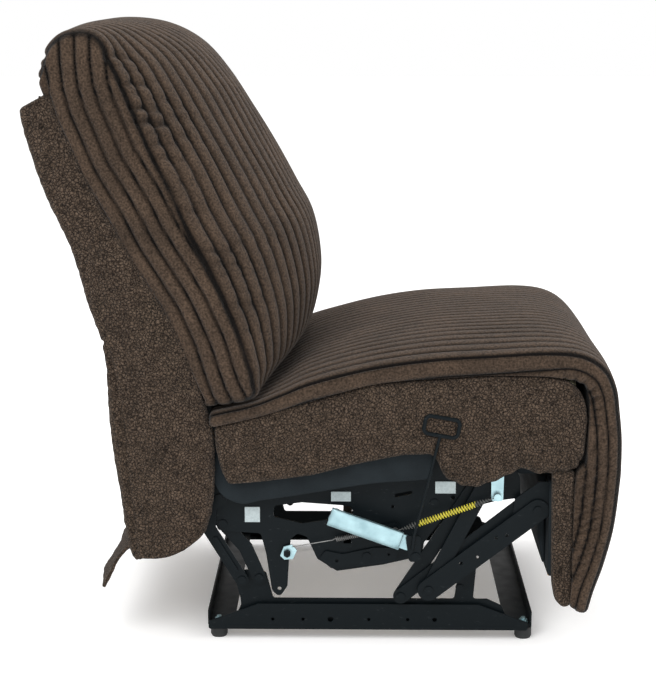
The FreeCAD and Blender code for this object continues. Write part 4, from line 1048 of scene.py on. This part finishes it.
@dataclass
class StuffedPanel(Maker):
    """A flat panel with a padded face and soft edges, drawn from its outline in the side view."""

    name: str
    body: str
    outline: list[Place]
    spine: tuple[Place, Place]
    inner: float
    outer: float
    edge: float
    rings: int
    nap: float
    puckers: tuple[Place, Place] | None = None
    spacing: float = 5.0
    fold_pitch: float = 26.0
    fold_depth: float = 8.0

    def core(self, rim: np.ndarray) -> np.ndarray:
        """Places on the spine that the rim's points shrink to.

        Args:
            rim: Stations round the outline.

        Returns:
            One place for each station.
        """
        start, end = np.array(self.spine, float)
        run = end - start
        share = np.clip((rim - start) @ run / (run @ run), 0, 1)
        return start + share[:, None] * run

    def fold(self, rim: np.ndarray) -> np.ndarray:
        """Small folds along the stretch of the rim between two places.

        Args:
            rim: Stations round the outline.

        Returns:
            Depth of the folds at each station, from 0 to 1.
        """
        if self.puckers is None:
            return np.zeros(len(rim))
        start, end = self.puckers
        inside = (rim[:, 0] > start[0]) & (rim[:, 0] < end[0]) & (rim[:, 1] < max(start[1], end[1]))
        reach = np.cumsum(np.linalg.norm(np.diff(rim, axis=0, prepend=rim[-1:]), axis=1))
        wave = 0.5 + 0.5 * np.sin(reach * 2 * math.pi / self.fold_pitch + 1.5 * np.sin(reach / 37.0))
        return np.where(inside, wave, 0.0)

    def build(self, side: Side, node: str) -> None:
        """Make the panel for one side.

        Args:
            side: Which side of the chair.
            node: The solid that it replaces.
        """
        rim = closed_line(self.outline, self.spacing, 2)
        core = self.core(rim)
        span = np.linalg.norm(rim - core, axis=1)
        fold = self.fold(rim)
        across = self.outer - self.inner
        shares = np.linspace(0.03, 1, self.rings) ** 0.75
        rings = []
        for outside, order in ((False, shares), (True, shares[::-1])):
            for share in order:
                depth = span * (1 - share)
                rise = np.sqrt(1 - (1 - np.clip(depth / self.edge, 0, 1)) ** 2)
                reach = self.inner + (1 - rise) * 0.25 * across
                if outside:
                    pull = self.fold_depth * fold * np.exp(-depth / 42.0)
                    reach = self.inner + (0.5 + 0.5 * rise) * across - pull
                rings.append(spread(core + share * (rim - core), side.value * reach))
        surface = np.array(rings)
        rough = self.nap * (ripple(surface, 14.0, 31) + 0.8 * ripple(surface, 90.0, 32))
        rough[:self.rings - 2] = 0.0
        surface[:, :, 1] += side.value * rough
        surface[:, :, 2] += 0.5 * rough
        surface = np.concatenate([surface, surface[:, :1]], axis=1)
        piece = grid_piece(f"{self.name}_{side.tag}", surface, self.datum, True)
        self.wardrobe.dress(piece, Slot.BOUCLE)
        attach(piece, self.body)
        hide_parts(node)


@dataclass
class BackCover(Maker):
    """Looped cloth cover of the back: both sides, the rear wall and the top ledge in one sheet."""

    half: float = HALF_WIDTH - 1.0
    corner: float = 14.0
    puff: float = 3.5
    tuck: float = 12.0
    rows: int = 190
    side_columns: int = 40
    rear_columns: int = 90
    bend_columns: int = 5
    thickness: float = 7.0
    flap_top: float = 540.0
    stations: list[tuple[float, ...]] = field(default_factory=lambda: [
        (-404, 161, -283, 212, 15), (-414, 190, -273, 242, 7), (-425, 258, -266, 292, 0),
        (-434, 328, -265, 340, 0), (-438, 389, -268, 386, 0), (-444, 481, -291, 472, 0),
        (-451, 531, -308, 526, 0), (-471, 597, -339, 589, 0), (-501, 697, -402, 695, 0),
        (-540, 797, -459, 797, 0), (-563, 866, -491, 866, 0), (-576, 916, -511, 916, 0),
        (-575, 929, -519, 944, 0), (-562, 937, -524, 951, 0), (-545, 946, -529, 954, 0)])
    flap_seam: list[Place] = field(default_factory=lambda: [
        (-400, 150), (-405, 200), (-413, 300), (-420, 390), (-430, 480), (-446, 540)])

    def grid(self) -> tuple[np.ndarray, np.ndarray]:
        """Outer surface of the cover.

        Returns:
            Points, and the middle of each row.
        """
        points, middles = [], []
        mirror = np.array([1, -1, 1])
        turn = np.linspace(0, 1, self.side_columns)
        arc = np.linspace(0, math.pi / 2, self.bend_columns + 2)[1:-1]
        across = np.linspace(-1, 1, self.rear_columns)
        for row in smooth_line(self.stations, self.rows):
            rear, front, sag = row[0:2], row[2:4], row[4]
            depth = max(float(np.linalg.norm(front - rear)), 1.0)
            radius = min(self.corner, depth * 0.4)
            along = (front - rear) / depth
            reach = depth - turn * (depth - radius)
            tuck = self.tuck * np.clip(1 - (depth - reach) / 16.0, 0, 1) ** 2
            puff = self.puff * (1 - np.sin(math.pi * turn))
            place = rear + reach[:, None] * along
            place[:, 1] -= sag * np.sin(math.pi * turn)
            right = spread(place, -(self.half - puff - tuck))
            width = self.half - self.puff
            bend = spread(rear + (radius * (1 - np.sin(arc)))[:, None] * along,
                          -(width - radius * (1 - np.cos(arc))))
            wall = spread(np.tile(rear, (len(across), 1)), across * (width - radius))
            points.append(np.vstack([right, bend, wall, bend[::-1] * mirror, right[::-1] * mirror]))
            middles.append([(rear[0] + front[0]) / 2, 0.0, (rear[1] + front[1]) / 2])
        return np.array(points), np.array(middles)

    def build(self) -> None:
        """Make the cover, with a seam and a hem where the flap begins."""
        base, middles = self.grid()
        height = base[:, :, 2]
        away = distance_to_line(base[:, :, 0], height, self.flap_seam)
        low = height < self.flap_top
        seam = np.where(low, np.exp(-(away / 3.5) ** 2), 0.0)
        hem = np.where(away < 0, np.exp(-((height - self.flap_top) / 4.0) ** 2), 0.0)
        lift = 0.9 * ripple(base, 13.0, 41) + 2.2 * ripple(base, 150.0, 42)
        lift = lift + 2.0 * ((away < 0) & low) - 4.0 * np.clip(seam + hem, 0, 1)
        points = base + outward_normals(base, middles) * lift[:, :, None]
        piece = grid_piece("back_cover", points, self.datum)
        solidify(piece, self.thickness)
        self.wardrobe.dress(piece, Slot.BOUCLE)
        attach(piece, "back")
        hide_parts("shell_side_right", "shell_side_left", "shell_rear")


@dataclass
class AccessFlap(Maker):
    """Loose lower end of the rear cloth, which hangs open and curls back."""

    half: float = HALF_WIDTH - 30.0
    columns: int = 90
    rows: int = 26
    thickness: float = 5.0
    line: list[Place] = field(default_factory=lambda: [
        (-409, 184), (-424, 172), (-436, 156), (-444, 138), (-452, 120), (-459, 106)])

    def build(self) -> None:
        """Make the flap."""
        across = np.linspace(-1, 1, self.columns)
        share = np.linspace(0, 1, self.rows)[:, None]
        drop = smooth_line(self.line, self.rows)
        points = np.array([spread(np.tile(place, (self.columns, 1)), across * self.half) for place in drop])
        wave = ripple(points * np.array([0.2, 1.0, 0.2]), 170.0, 51)
        points[:, :, 0] -= share * (5.0 + 6.0 * wave)
        points[:, :, 2] += share * 7.0 * (1 - across ** 6) + share * 4.0 * wave
        points[:, :, 0] += 0.8 * ripple(points, 14.0, 52)
        piece = grid_piece("access_flap_cloth", points, self.datum)
        solidify(piece, self.thickness, 0.0)
        self.wardrobe.dress(piece, Slot.BOUCLE)
        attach(piece, "back")
        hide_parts("access_flap")


@dataclass
class SeatSkirt(Maker):
    """Thin black cloth that closes one side under the seat, with slack creases."""

    outer: float = 291.0
    thickness: float = 1.2
    columns: int = 96
    rows: int = 30
    top: float = 372.0
    hem: list[Place] = field(default_factory=lambda: [
        (-272, 300), (-254, 272), (-222, 258), (-190, 264), (-148, 270), (-101, 278), (-50, 287), (0, 295),
        (50, 299), (91, 303), (103, 311)])

    def build(self, side: Side) -> None:
        """Make the skirt of one side, with a crease where the cloth is drawn up.

        Args:
            side: Which side of the chair.
        """
        hem = smooth_line(self.hem, self.columns)
        share = np.linspace(0, 1, self.rows)[:, None]
        points = np.zeros((self.rows, self.columns, 3))
        points[:, :, 0] = hem[:, 0]
        points[:, :, 2] = hem[:, 1] + share * (self.top - hem[:, 1])
        crease = np.exp(-((points[:, :, 0] + 148 + (points[:, :, 2] - 270) * 0.3) / 4.0) ** 2)
        slack = ripple(points * np.array([1.0, 1.0, 2.2]), 95.0, 61) * np.sin(math.pi * share * 0.6 + 0.4)
        points[:, :, 1] = side.value * (self.outer - 0.8 - 1.6 * crease + 0.9 * slack)
        piece = grid_piece(f"seat_skirt_cloth_{side.tag}", points, self.datum)
        solidify(piece, self.thickness, 0.0)
        self.wardrobe.dress(piece, Slot.BLACK_CLOTH)
        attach(piece, "seat")
        if side is Side.RIGHT:
            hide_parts("seat_skirt")


@dataclass
class WrappedCore(Maker):
    """A core of one section right across the chair, with softened edges: foam or a wrapped board."""

    name: str
    outline: list[Place]
    reach: Place
    round: float
    spacing: float = 7.0
    rows: int = 60
    cap_rings: int = 5

    def build(self, slot: Slot, body: str) -> bpy.types.Object:
        """Make the core.

        Args:
            slot: Which finish it has.
            body: The body that it rides on.

        Returns:
            The piece.
        """
        rim = closed_line(self.outline, self.spacing)
        away = rim - rim.mean(axis=0)
        span = np.linalg.norm(away, axis=1, keepdims=True)
        cap = np.linspace(1, 0, self.cap_rings)
        turn = np.concatenate([cap, np.zeros(self.rows), cap[::-1]])
        inset = self.round * (1 - np.cos(turn * math.pi / 2))
        rings = []
        for shrink, sideways in zip(inset, np.linspace(*self.reach, len(turn))):
            ring = rim - away * shrink / np.maximum(span, self.round)
            rings.append(spread(ring, sideways))
        surface = np.array(rings)
        surface = np.concatenate([surface, surface[:, :1]], axis=1)
        piece = grid_piece(self.name, surface, self.datum, True)
        self.wardrobe.dress(piece, slot)
        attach(piece, body)
        return piece


@dataclass
class ReleaseDetails(Maker):
    """Small plated parts of the release: a teardrop washer, a light return spring and its wire."""

    plate_outer: float = 267.0
    washer_place: Place = (-146.0, 163.0)
    washer_corners: list[Place] = field(default_factory=lambda: [
        (-158, 158), (-152, 174), (-138, 178), (-129, 168), (-136, 152), (-151, 151)])
    spring_run: tuple[Place, Place] = ((-62.0, 190.0), (-14.0, 200.0))
    wire_end: Place = (-138.0, 174.0)
    coil_radius: float = 4.0
    coil_turns: int = 15
    turn_steps: int = 14
    wire_radius: float = 0.9
    wire_sides: int = 8
    washer_half: float = 1.5

    def tube(self, name: str, line: np.ndarray) -> bpy.types.Object:
        """A round wire along a line.

        Args:
            name: The piece's name.
            line: Points along the wire's middle.

        Returns:
            The wire.
        """
        along = np.gradient(line, axis=0)
        along /= np.linalg.norm(along, axis=1, keepdims=True)
        up = np.cross(along, np.array([0.0, 1.0, 0.02]))
        up /= np.linalg.norm(up, axis=1, keepdims=True)
        over = np.cross(along, up)
        angle = np.linspace(0, 2 * math.pi, self.wire_sides + 1)[None, :, None]
        ring = np.cos(angle) * up[:, None] + np.sin(angle) * over[:, None]
        points = line[:, None] + self.wire_radius * ring
        points[:, -1] = points[:, 0]
        return grid_piece(name, points, self.datum, True)

    def washer(self, side: Side) -> None:
        """Make the teardrop washer.

        Args:
            side: Which side of the chair.
        """
        deselect()
        count = len(self.washer_corners)
        bpy.ops.mesh.primitive_cylinder_add(vertices=count, radius=0.015, depth=0.003)
        plate = bpy.context.object
        plate.name = f"release_washer_{side.tag}"
        y = side.value * (self.plate_outer + 1.6)
        for vertex in plate.data.vertices:
            x, z = self.washer_corners[(vertex.index // 2) % count]
            lift = self.washer_half if vertex.co.z > 0 else -self.washer_half
            vertex.co = (self.datum + x * MM, (y + lift) * MM, z * MM)
        activate(plate)
        bpy.ops.object.mode_set(mode="EDIT")
        bpy.ops.mesh.select_all(action="SELECT")
        bpy.ops.mesh.normals_make_consistent(inside=False)
        bpy.ops.object.mode_set(mode="OBJECT")
        self.wardrobe.dress(plate, Slot.ZINC_STEEL)
        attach(plate, "seat")

    def nut(self, side: Side) -> None:
        """Make the dark nut on the washer.

        Args:
            side: Which side of the chair.
        """
        deselect()
        x, z = self.washer_place
        y = side.value * (self.plate_outer + 6.1)
        bpy.ops.mesh.primitive_cylinder_add(vertices=6, radius=0.0065, depth=0.008,
                                            rotation=(math.pi / 2, 0.0, 0.0),
                                            location=(self.datum + x * MM, y * MM, z * MM))
        nut = bpy.context.object
        nut.name = f"release_nut_{side.tag}"
        bpy.ops.object.transform_apply(location=True, rotation=True, scale=True)
        self.wardrobe.dress(nut, Slot.BLACK_STEEL)
        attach(nut, "seat")

    def spring(self, side: Side) -> None:
        """Make the light spring with its straight lead.

        Args:
            side: Which side of the chair.
        """
        start, end = np.array(self.spring_run)
        share = np.linspace(0, 1, self.coil_turns * self.turn_steps)
        run = (end - start) / np.linalg.norm(end - start)
        turn = share * self.coil_turns * 2 * math.pi
        y = side.value * (self.plate_outer + 8.0)
        rise = self.coil_radius * np.sin(turn)[:, None] * np.array([-run[1], run[0]])
        coil = spread(start + share[:, None] * (end - start) + rise, y + self.coil_radius * np.cos(turn))
        lead = np.array([[self.wire_end[0], y - side.value * 5.5, self.wire_end[1]],
                         [start[0] - 6.0, y, start[1] - 1.5]])
        piece = self.tube(f"return_spring_{side.tag}", np.vstack([even_line(lead, 12, 3), coil]))
        self.wardrobe.dress(piece, Slot.WIRE_STEEL)
        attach(piece, "seat")

    def build(self, side: Side) -> None:
        """Make the details of one side.

        Args:
            side: Which side of the chair.
        """
        self.washer(side)
        self.nut(side)
        self.spring(side)


@dataclass
class LatchChannel(Maker):
    """Folded plated channel along the latch link, with a square rear end."""

    upper: tuple[Place, Place] = ((-67.0, 254.0), (55.0, 210.0))
    lower: tuple[Place, Place] = ((-77.0, 225.0), (45.0, 181.0))
    outer: float = 304.0
    flange: float = 9.0
    thickness: float = 2.0
    rows: int = 16
    web_shares: tuple[float, ...] = (0.0, 0.3, 0.6, 0.9, 0.97)
    flange_shares: tuple[float, ...] = (0.08, 0.3, 0.65, 1.0)

    def build(self) -> None:
        """Make the channel."""
        share = np.linspace(0, 1, self.rows)[:, None]
        (upper_start, upper_end), (lower_start, lower_end) = np.array([self.upper, self.lower])
        upper = upper_start + share * (upper_end - upper_start)
        lower = lower_start + share * (lower_end - lower_start)
        columns = [spread(lower + up * (upper - lower), -self.outer) for up in self.web_shares]
        columns += [spread(upper, -self.outer + inward * self.flange) for inward in self.flange_shares]
        piece = grid_piece("latch_link_channel", np.stack(columns, axis=1), self.datum)
        solidify(piece, self.thickness)
        self.wardrobe.dress(piece, Slot.ZINC_STEEL)
        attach(piece, "latch_link")


# Setting


@dataclass
class Studio:
    """Plain pale floor, soft lights and the camera at the photograph's angle."""

    datum: float
    camera_place: Triple = (-33.4, -3040.0, 1117.6)
    pitch_down: float = 12.12
    yaw: float = 0.866
    lens: float = 86.45
    film: float = 36.0
    floor_size: float = 30.0
    floor_glow: float = 0.22
    glow: Colour = (1.0, 0.97, 0.95)
    aim: Triple = (0.0, 0.0, 0.5)
    lights: tuple[tuple[str, Triple, float, float], ...] = (
        ("key", (-1.6, -3.2, 3.4), 2.2, 90.0),
        ("front", (3.4, -1.6, 2.2), 2.0, 35.0),
        ("top", (0.2, 0.6, 4.0), 3.0, 70.0))

    def camera(self) -> None:
        """Set the camera."""
        deselect()
        x, y, z = self.camera_place
        tilt = math.radians(90 - self.pitch_down)
        bpy.ops.object.camera_add(location=(self.datum + x * MM, y * MM, z * MM),
                                  rotation=(tilt, 0.0, math.radians(self.yaw)))
        camera = bpy.context.object
        camera.name = "camera"
        camera.data.sensor_fit = "VERTICAL"
        camera.data.sensor_height = self.film
        camera.data.lens = self.lens
        bpy.context.scene.camera = camera

    def floor(self) -> None:
        """Lay the floor."""
        deselect()
        bpy.ops.mesh.primitive_plane_add(size=self.floor_size, location=(self.datum, 4.0, 0.0))
        floor = bpy.context.object
        floor.name = "floor"
        shader = Shader("pale_floor")
        tone = shader.ramp(shader.noise(2.0), [(0.3, grey(0.93)), (0.7, grey(0.94))])
        finish = shader.finish(tone, 0.9, Specular_IOR_Level=0.1, Emission_Strength=self.floor_glow,
                               Emission_Color=self.glow)
        floor.data.materials.append(finish)

    def light(self, name: str, place: Triple, size: float, power: float) -> None:
        """Hang one soft light.

        Args:
            name: The light's name.
            place: Where it hangs, in metres.
            size: Edge of its square, in metres.
            power: In watts.
        """
        deselect()
        bpy.ops.object.light_add(type="AREA", location=place)
        lamp = bpy.context.object
        lamp.name = name
        lamp.data.size = size
        lamp.data.energy = power
        reach = np.array(self.aim) - np.array(place)
        flat = math.hypot(reach[0], reach[1])
        lamp.rotation_euler = (math.atan2(flat, -reach[2]), 0.0, math.atan2(reach[0], -reach[1]) + math.pi)

    def build(self) -> None:
        """Set up the camera, the floor, the sky and the lights."""
        self.camera()
        self.floor()
        for lamp in self.lights:
            self.light(*lamp)
        world = bpy.context.scene.world or bpy.data.worlds.new("sky")
        bpy.context.scene.world = world
        world.use_nodes = True
        sky = world.node_tree.nodes["Background"]
        sky.inputs["Color"].default_value = (1.0, 1.0, 1.0, 1.0)
        sky.inputs["Strength"].default_value = 1.0
        bpy.context.scene.view_settings.view_transform = "Standard"


class Recliner:
    """The whole chair, piece by piece in its frame."""

    side_outline: list[Place] = [
        (-266, 398), (-265, 362), (-256, 322), (-244, 296), (-178, 302), (-101, 313), (-25, 333), (52, 349),
        (102, 351), (111, 336), (122, 310), (152, 295), (175, 292), (214, 305), (256, 328), (275, 316),
        (314, 318), (344, 324), (357, 352), (361, 412), (356, 443), (345, 464), (325, 480), (283, 488),
        (198, 488), (98, 481), (0, 474), (-101, 443), (-200, 416)]
    lining_outline: list[Place] = [
        (304, 322), (343, 322), (343, 120), (346, 94), (341, 80), (328, 77), (314, 92), (308, 124),
        (306, 220)]
    backing_outline: list[Place] = [(303, 299), (288, 294), (285, 228), (290, 180), (300, 133), (303, 132)]
    foam_outline: list[Place] = [
        (-246, 397), (-246, 404), (-200, 415), (-150, 428), (-100, 443), (0, 473), (98, 481), (198, 487),
        (283, 486), (312, 482), (330, 476), (346, 468), (348, 397)]

    board_outline: list[Place] = [(303.2, 298.8), (303.2, 127.2), (341.9, 127.2), (341.9, 298.8)]
    rail_outline: list[Place] = [(236.0, 304.6), (339.4, 304.6), (339.4, 352.0), (236.0, 352.0)]
    front_outline: list[Place] = [
        (340.2, 304.0), (341.8, 304.0), (341.8, 392.0), (350.6, 398.0), (350.6, 452.0), (349.0, 452.0),
        (349.0, 399.0), (340.2, 393.0)]

    def __init__(self, frame: dict[str, Any]) -> None:
        """Read the frame.
        """
        self.frame = frame
        self.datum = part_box("base_rail_right")[1][0] - RAIL_FRONT * MM
        self.wardrobe = Wardrobe(self.datum)
        self.kit = (self.datum, self.wardrobe)

    def seat_sides(self) -> None:
        """Padded cloth sides of the seat."""
        panel = StuffedPanel(*self.kit, "seat_side", "seat", self.side_outline, ((-215, 358), (315, 405)),
                             292.0, 312.5, edge=15.0, rings=26, nap=0.9, puckers=((100, 352), (352, 352)))
        for side in Side:
            panel.build(side, f"side_panel_{side.tag}")

    def footrest_cloth(self) -> None:
        """Cloth on the sides of the footrest."""
        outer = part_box("footrest_lining")[1][1] / MM + 2.0
        lining = StuffedPanel(*self.kit, "footrest_side", "footrest", self.lining_outline,
                              ((324, 300), (326, 116)), 288.0, outer, edge=12.0, rings=14, nap=0.7)
        for side in Side:
            lining.build(side, "footrest_lining")

    def cores(self) -> None:
        """Foam of the seat, and the boards that cloth is wrapped round."""
        foam = WrappedCore(*self.kit, "seat_foam_core", self.foam_outline, (-281.0, 281.0), 6.0)
        piece = foam.build(Slot.FOAM, "seat")
        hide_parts("seat_foam")
        backing = WrappedCore(*self.kit, "footrest_rear_cloth", self.backing_outline, (-238.0, 238.0), 4.0)
        piece = backing.build(Slot.BLACK_CLOTH, "footrest")
        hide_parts("footrest_backing")
        board = WrappedCore(*self.kit, "footrest_board_wrap", self.board_outline, (-281.4, 281.4), 0.6)
        board.build(Slot.BLACK_CLOTH, "footrest")
        cloth = WrappedCore(*self.kit, "seat_front_cloth", self.front_outline, (-281.0, 281.0), 0.4, 5.0)
        cloth.build(Slot.BLACK_CLOTH, "seat")
        for side in Side:
            reach = sorted((side.value * 259.4, side.value * 232.0))
            name = f"seat_rail_wrap_{side.tag}"
            cover = WrappedCore(*self.kit, name, self.rail_outline, reach, 0.6, rows=6)
            cover.build(Slot.BLACK_CLOTH, "seat")

    def build(self) -> None:
        """Build and dress everything."""
        self.wardrobe.dress_frame(self.frame["nodes"])
        for kind in (BackCushion, ChaisePad, BackCover, AccessFlap):
            kind(*self.kit).build()
        self.seat_sides()
        self.footrest_cloth()
        self.cores()
        for side in Side:
            SeatSkirt(*self.kit).build(side)
            ReleaseDetails(*self.kit).build(side)
        LatchChannel(*self.kit).build()
        Studio(self.datum).build()


def corners(bounds: tuple[Sequence[float], Sequence[float]]) -> list[list[float]]:
    """A box's lowest and highest corners as plain lists."""
    return [[round(float(value), 6) for value in corner] for corner in bounds]


def main() -> None:
    """Dress the recliner over its frame."""
    logging.basicConfig(level=logging.INFO, format="%(message)s")
    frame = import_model()
    Recliner(frame).build()
    bpy.context.view_layer.update()


if __name__ == "__main__":
    main()
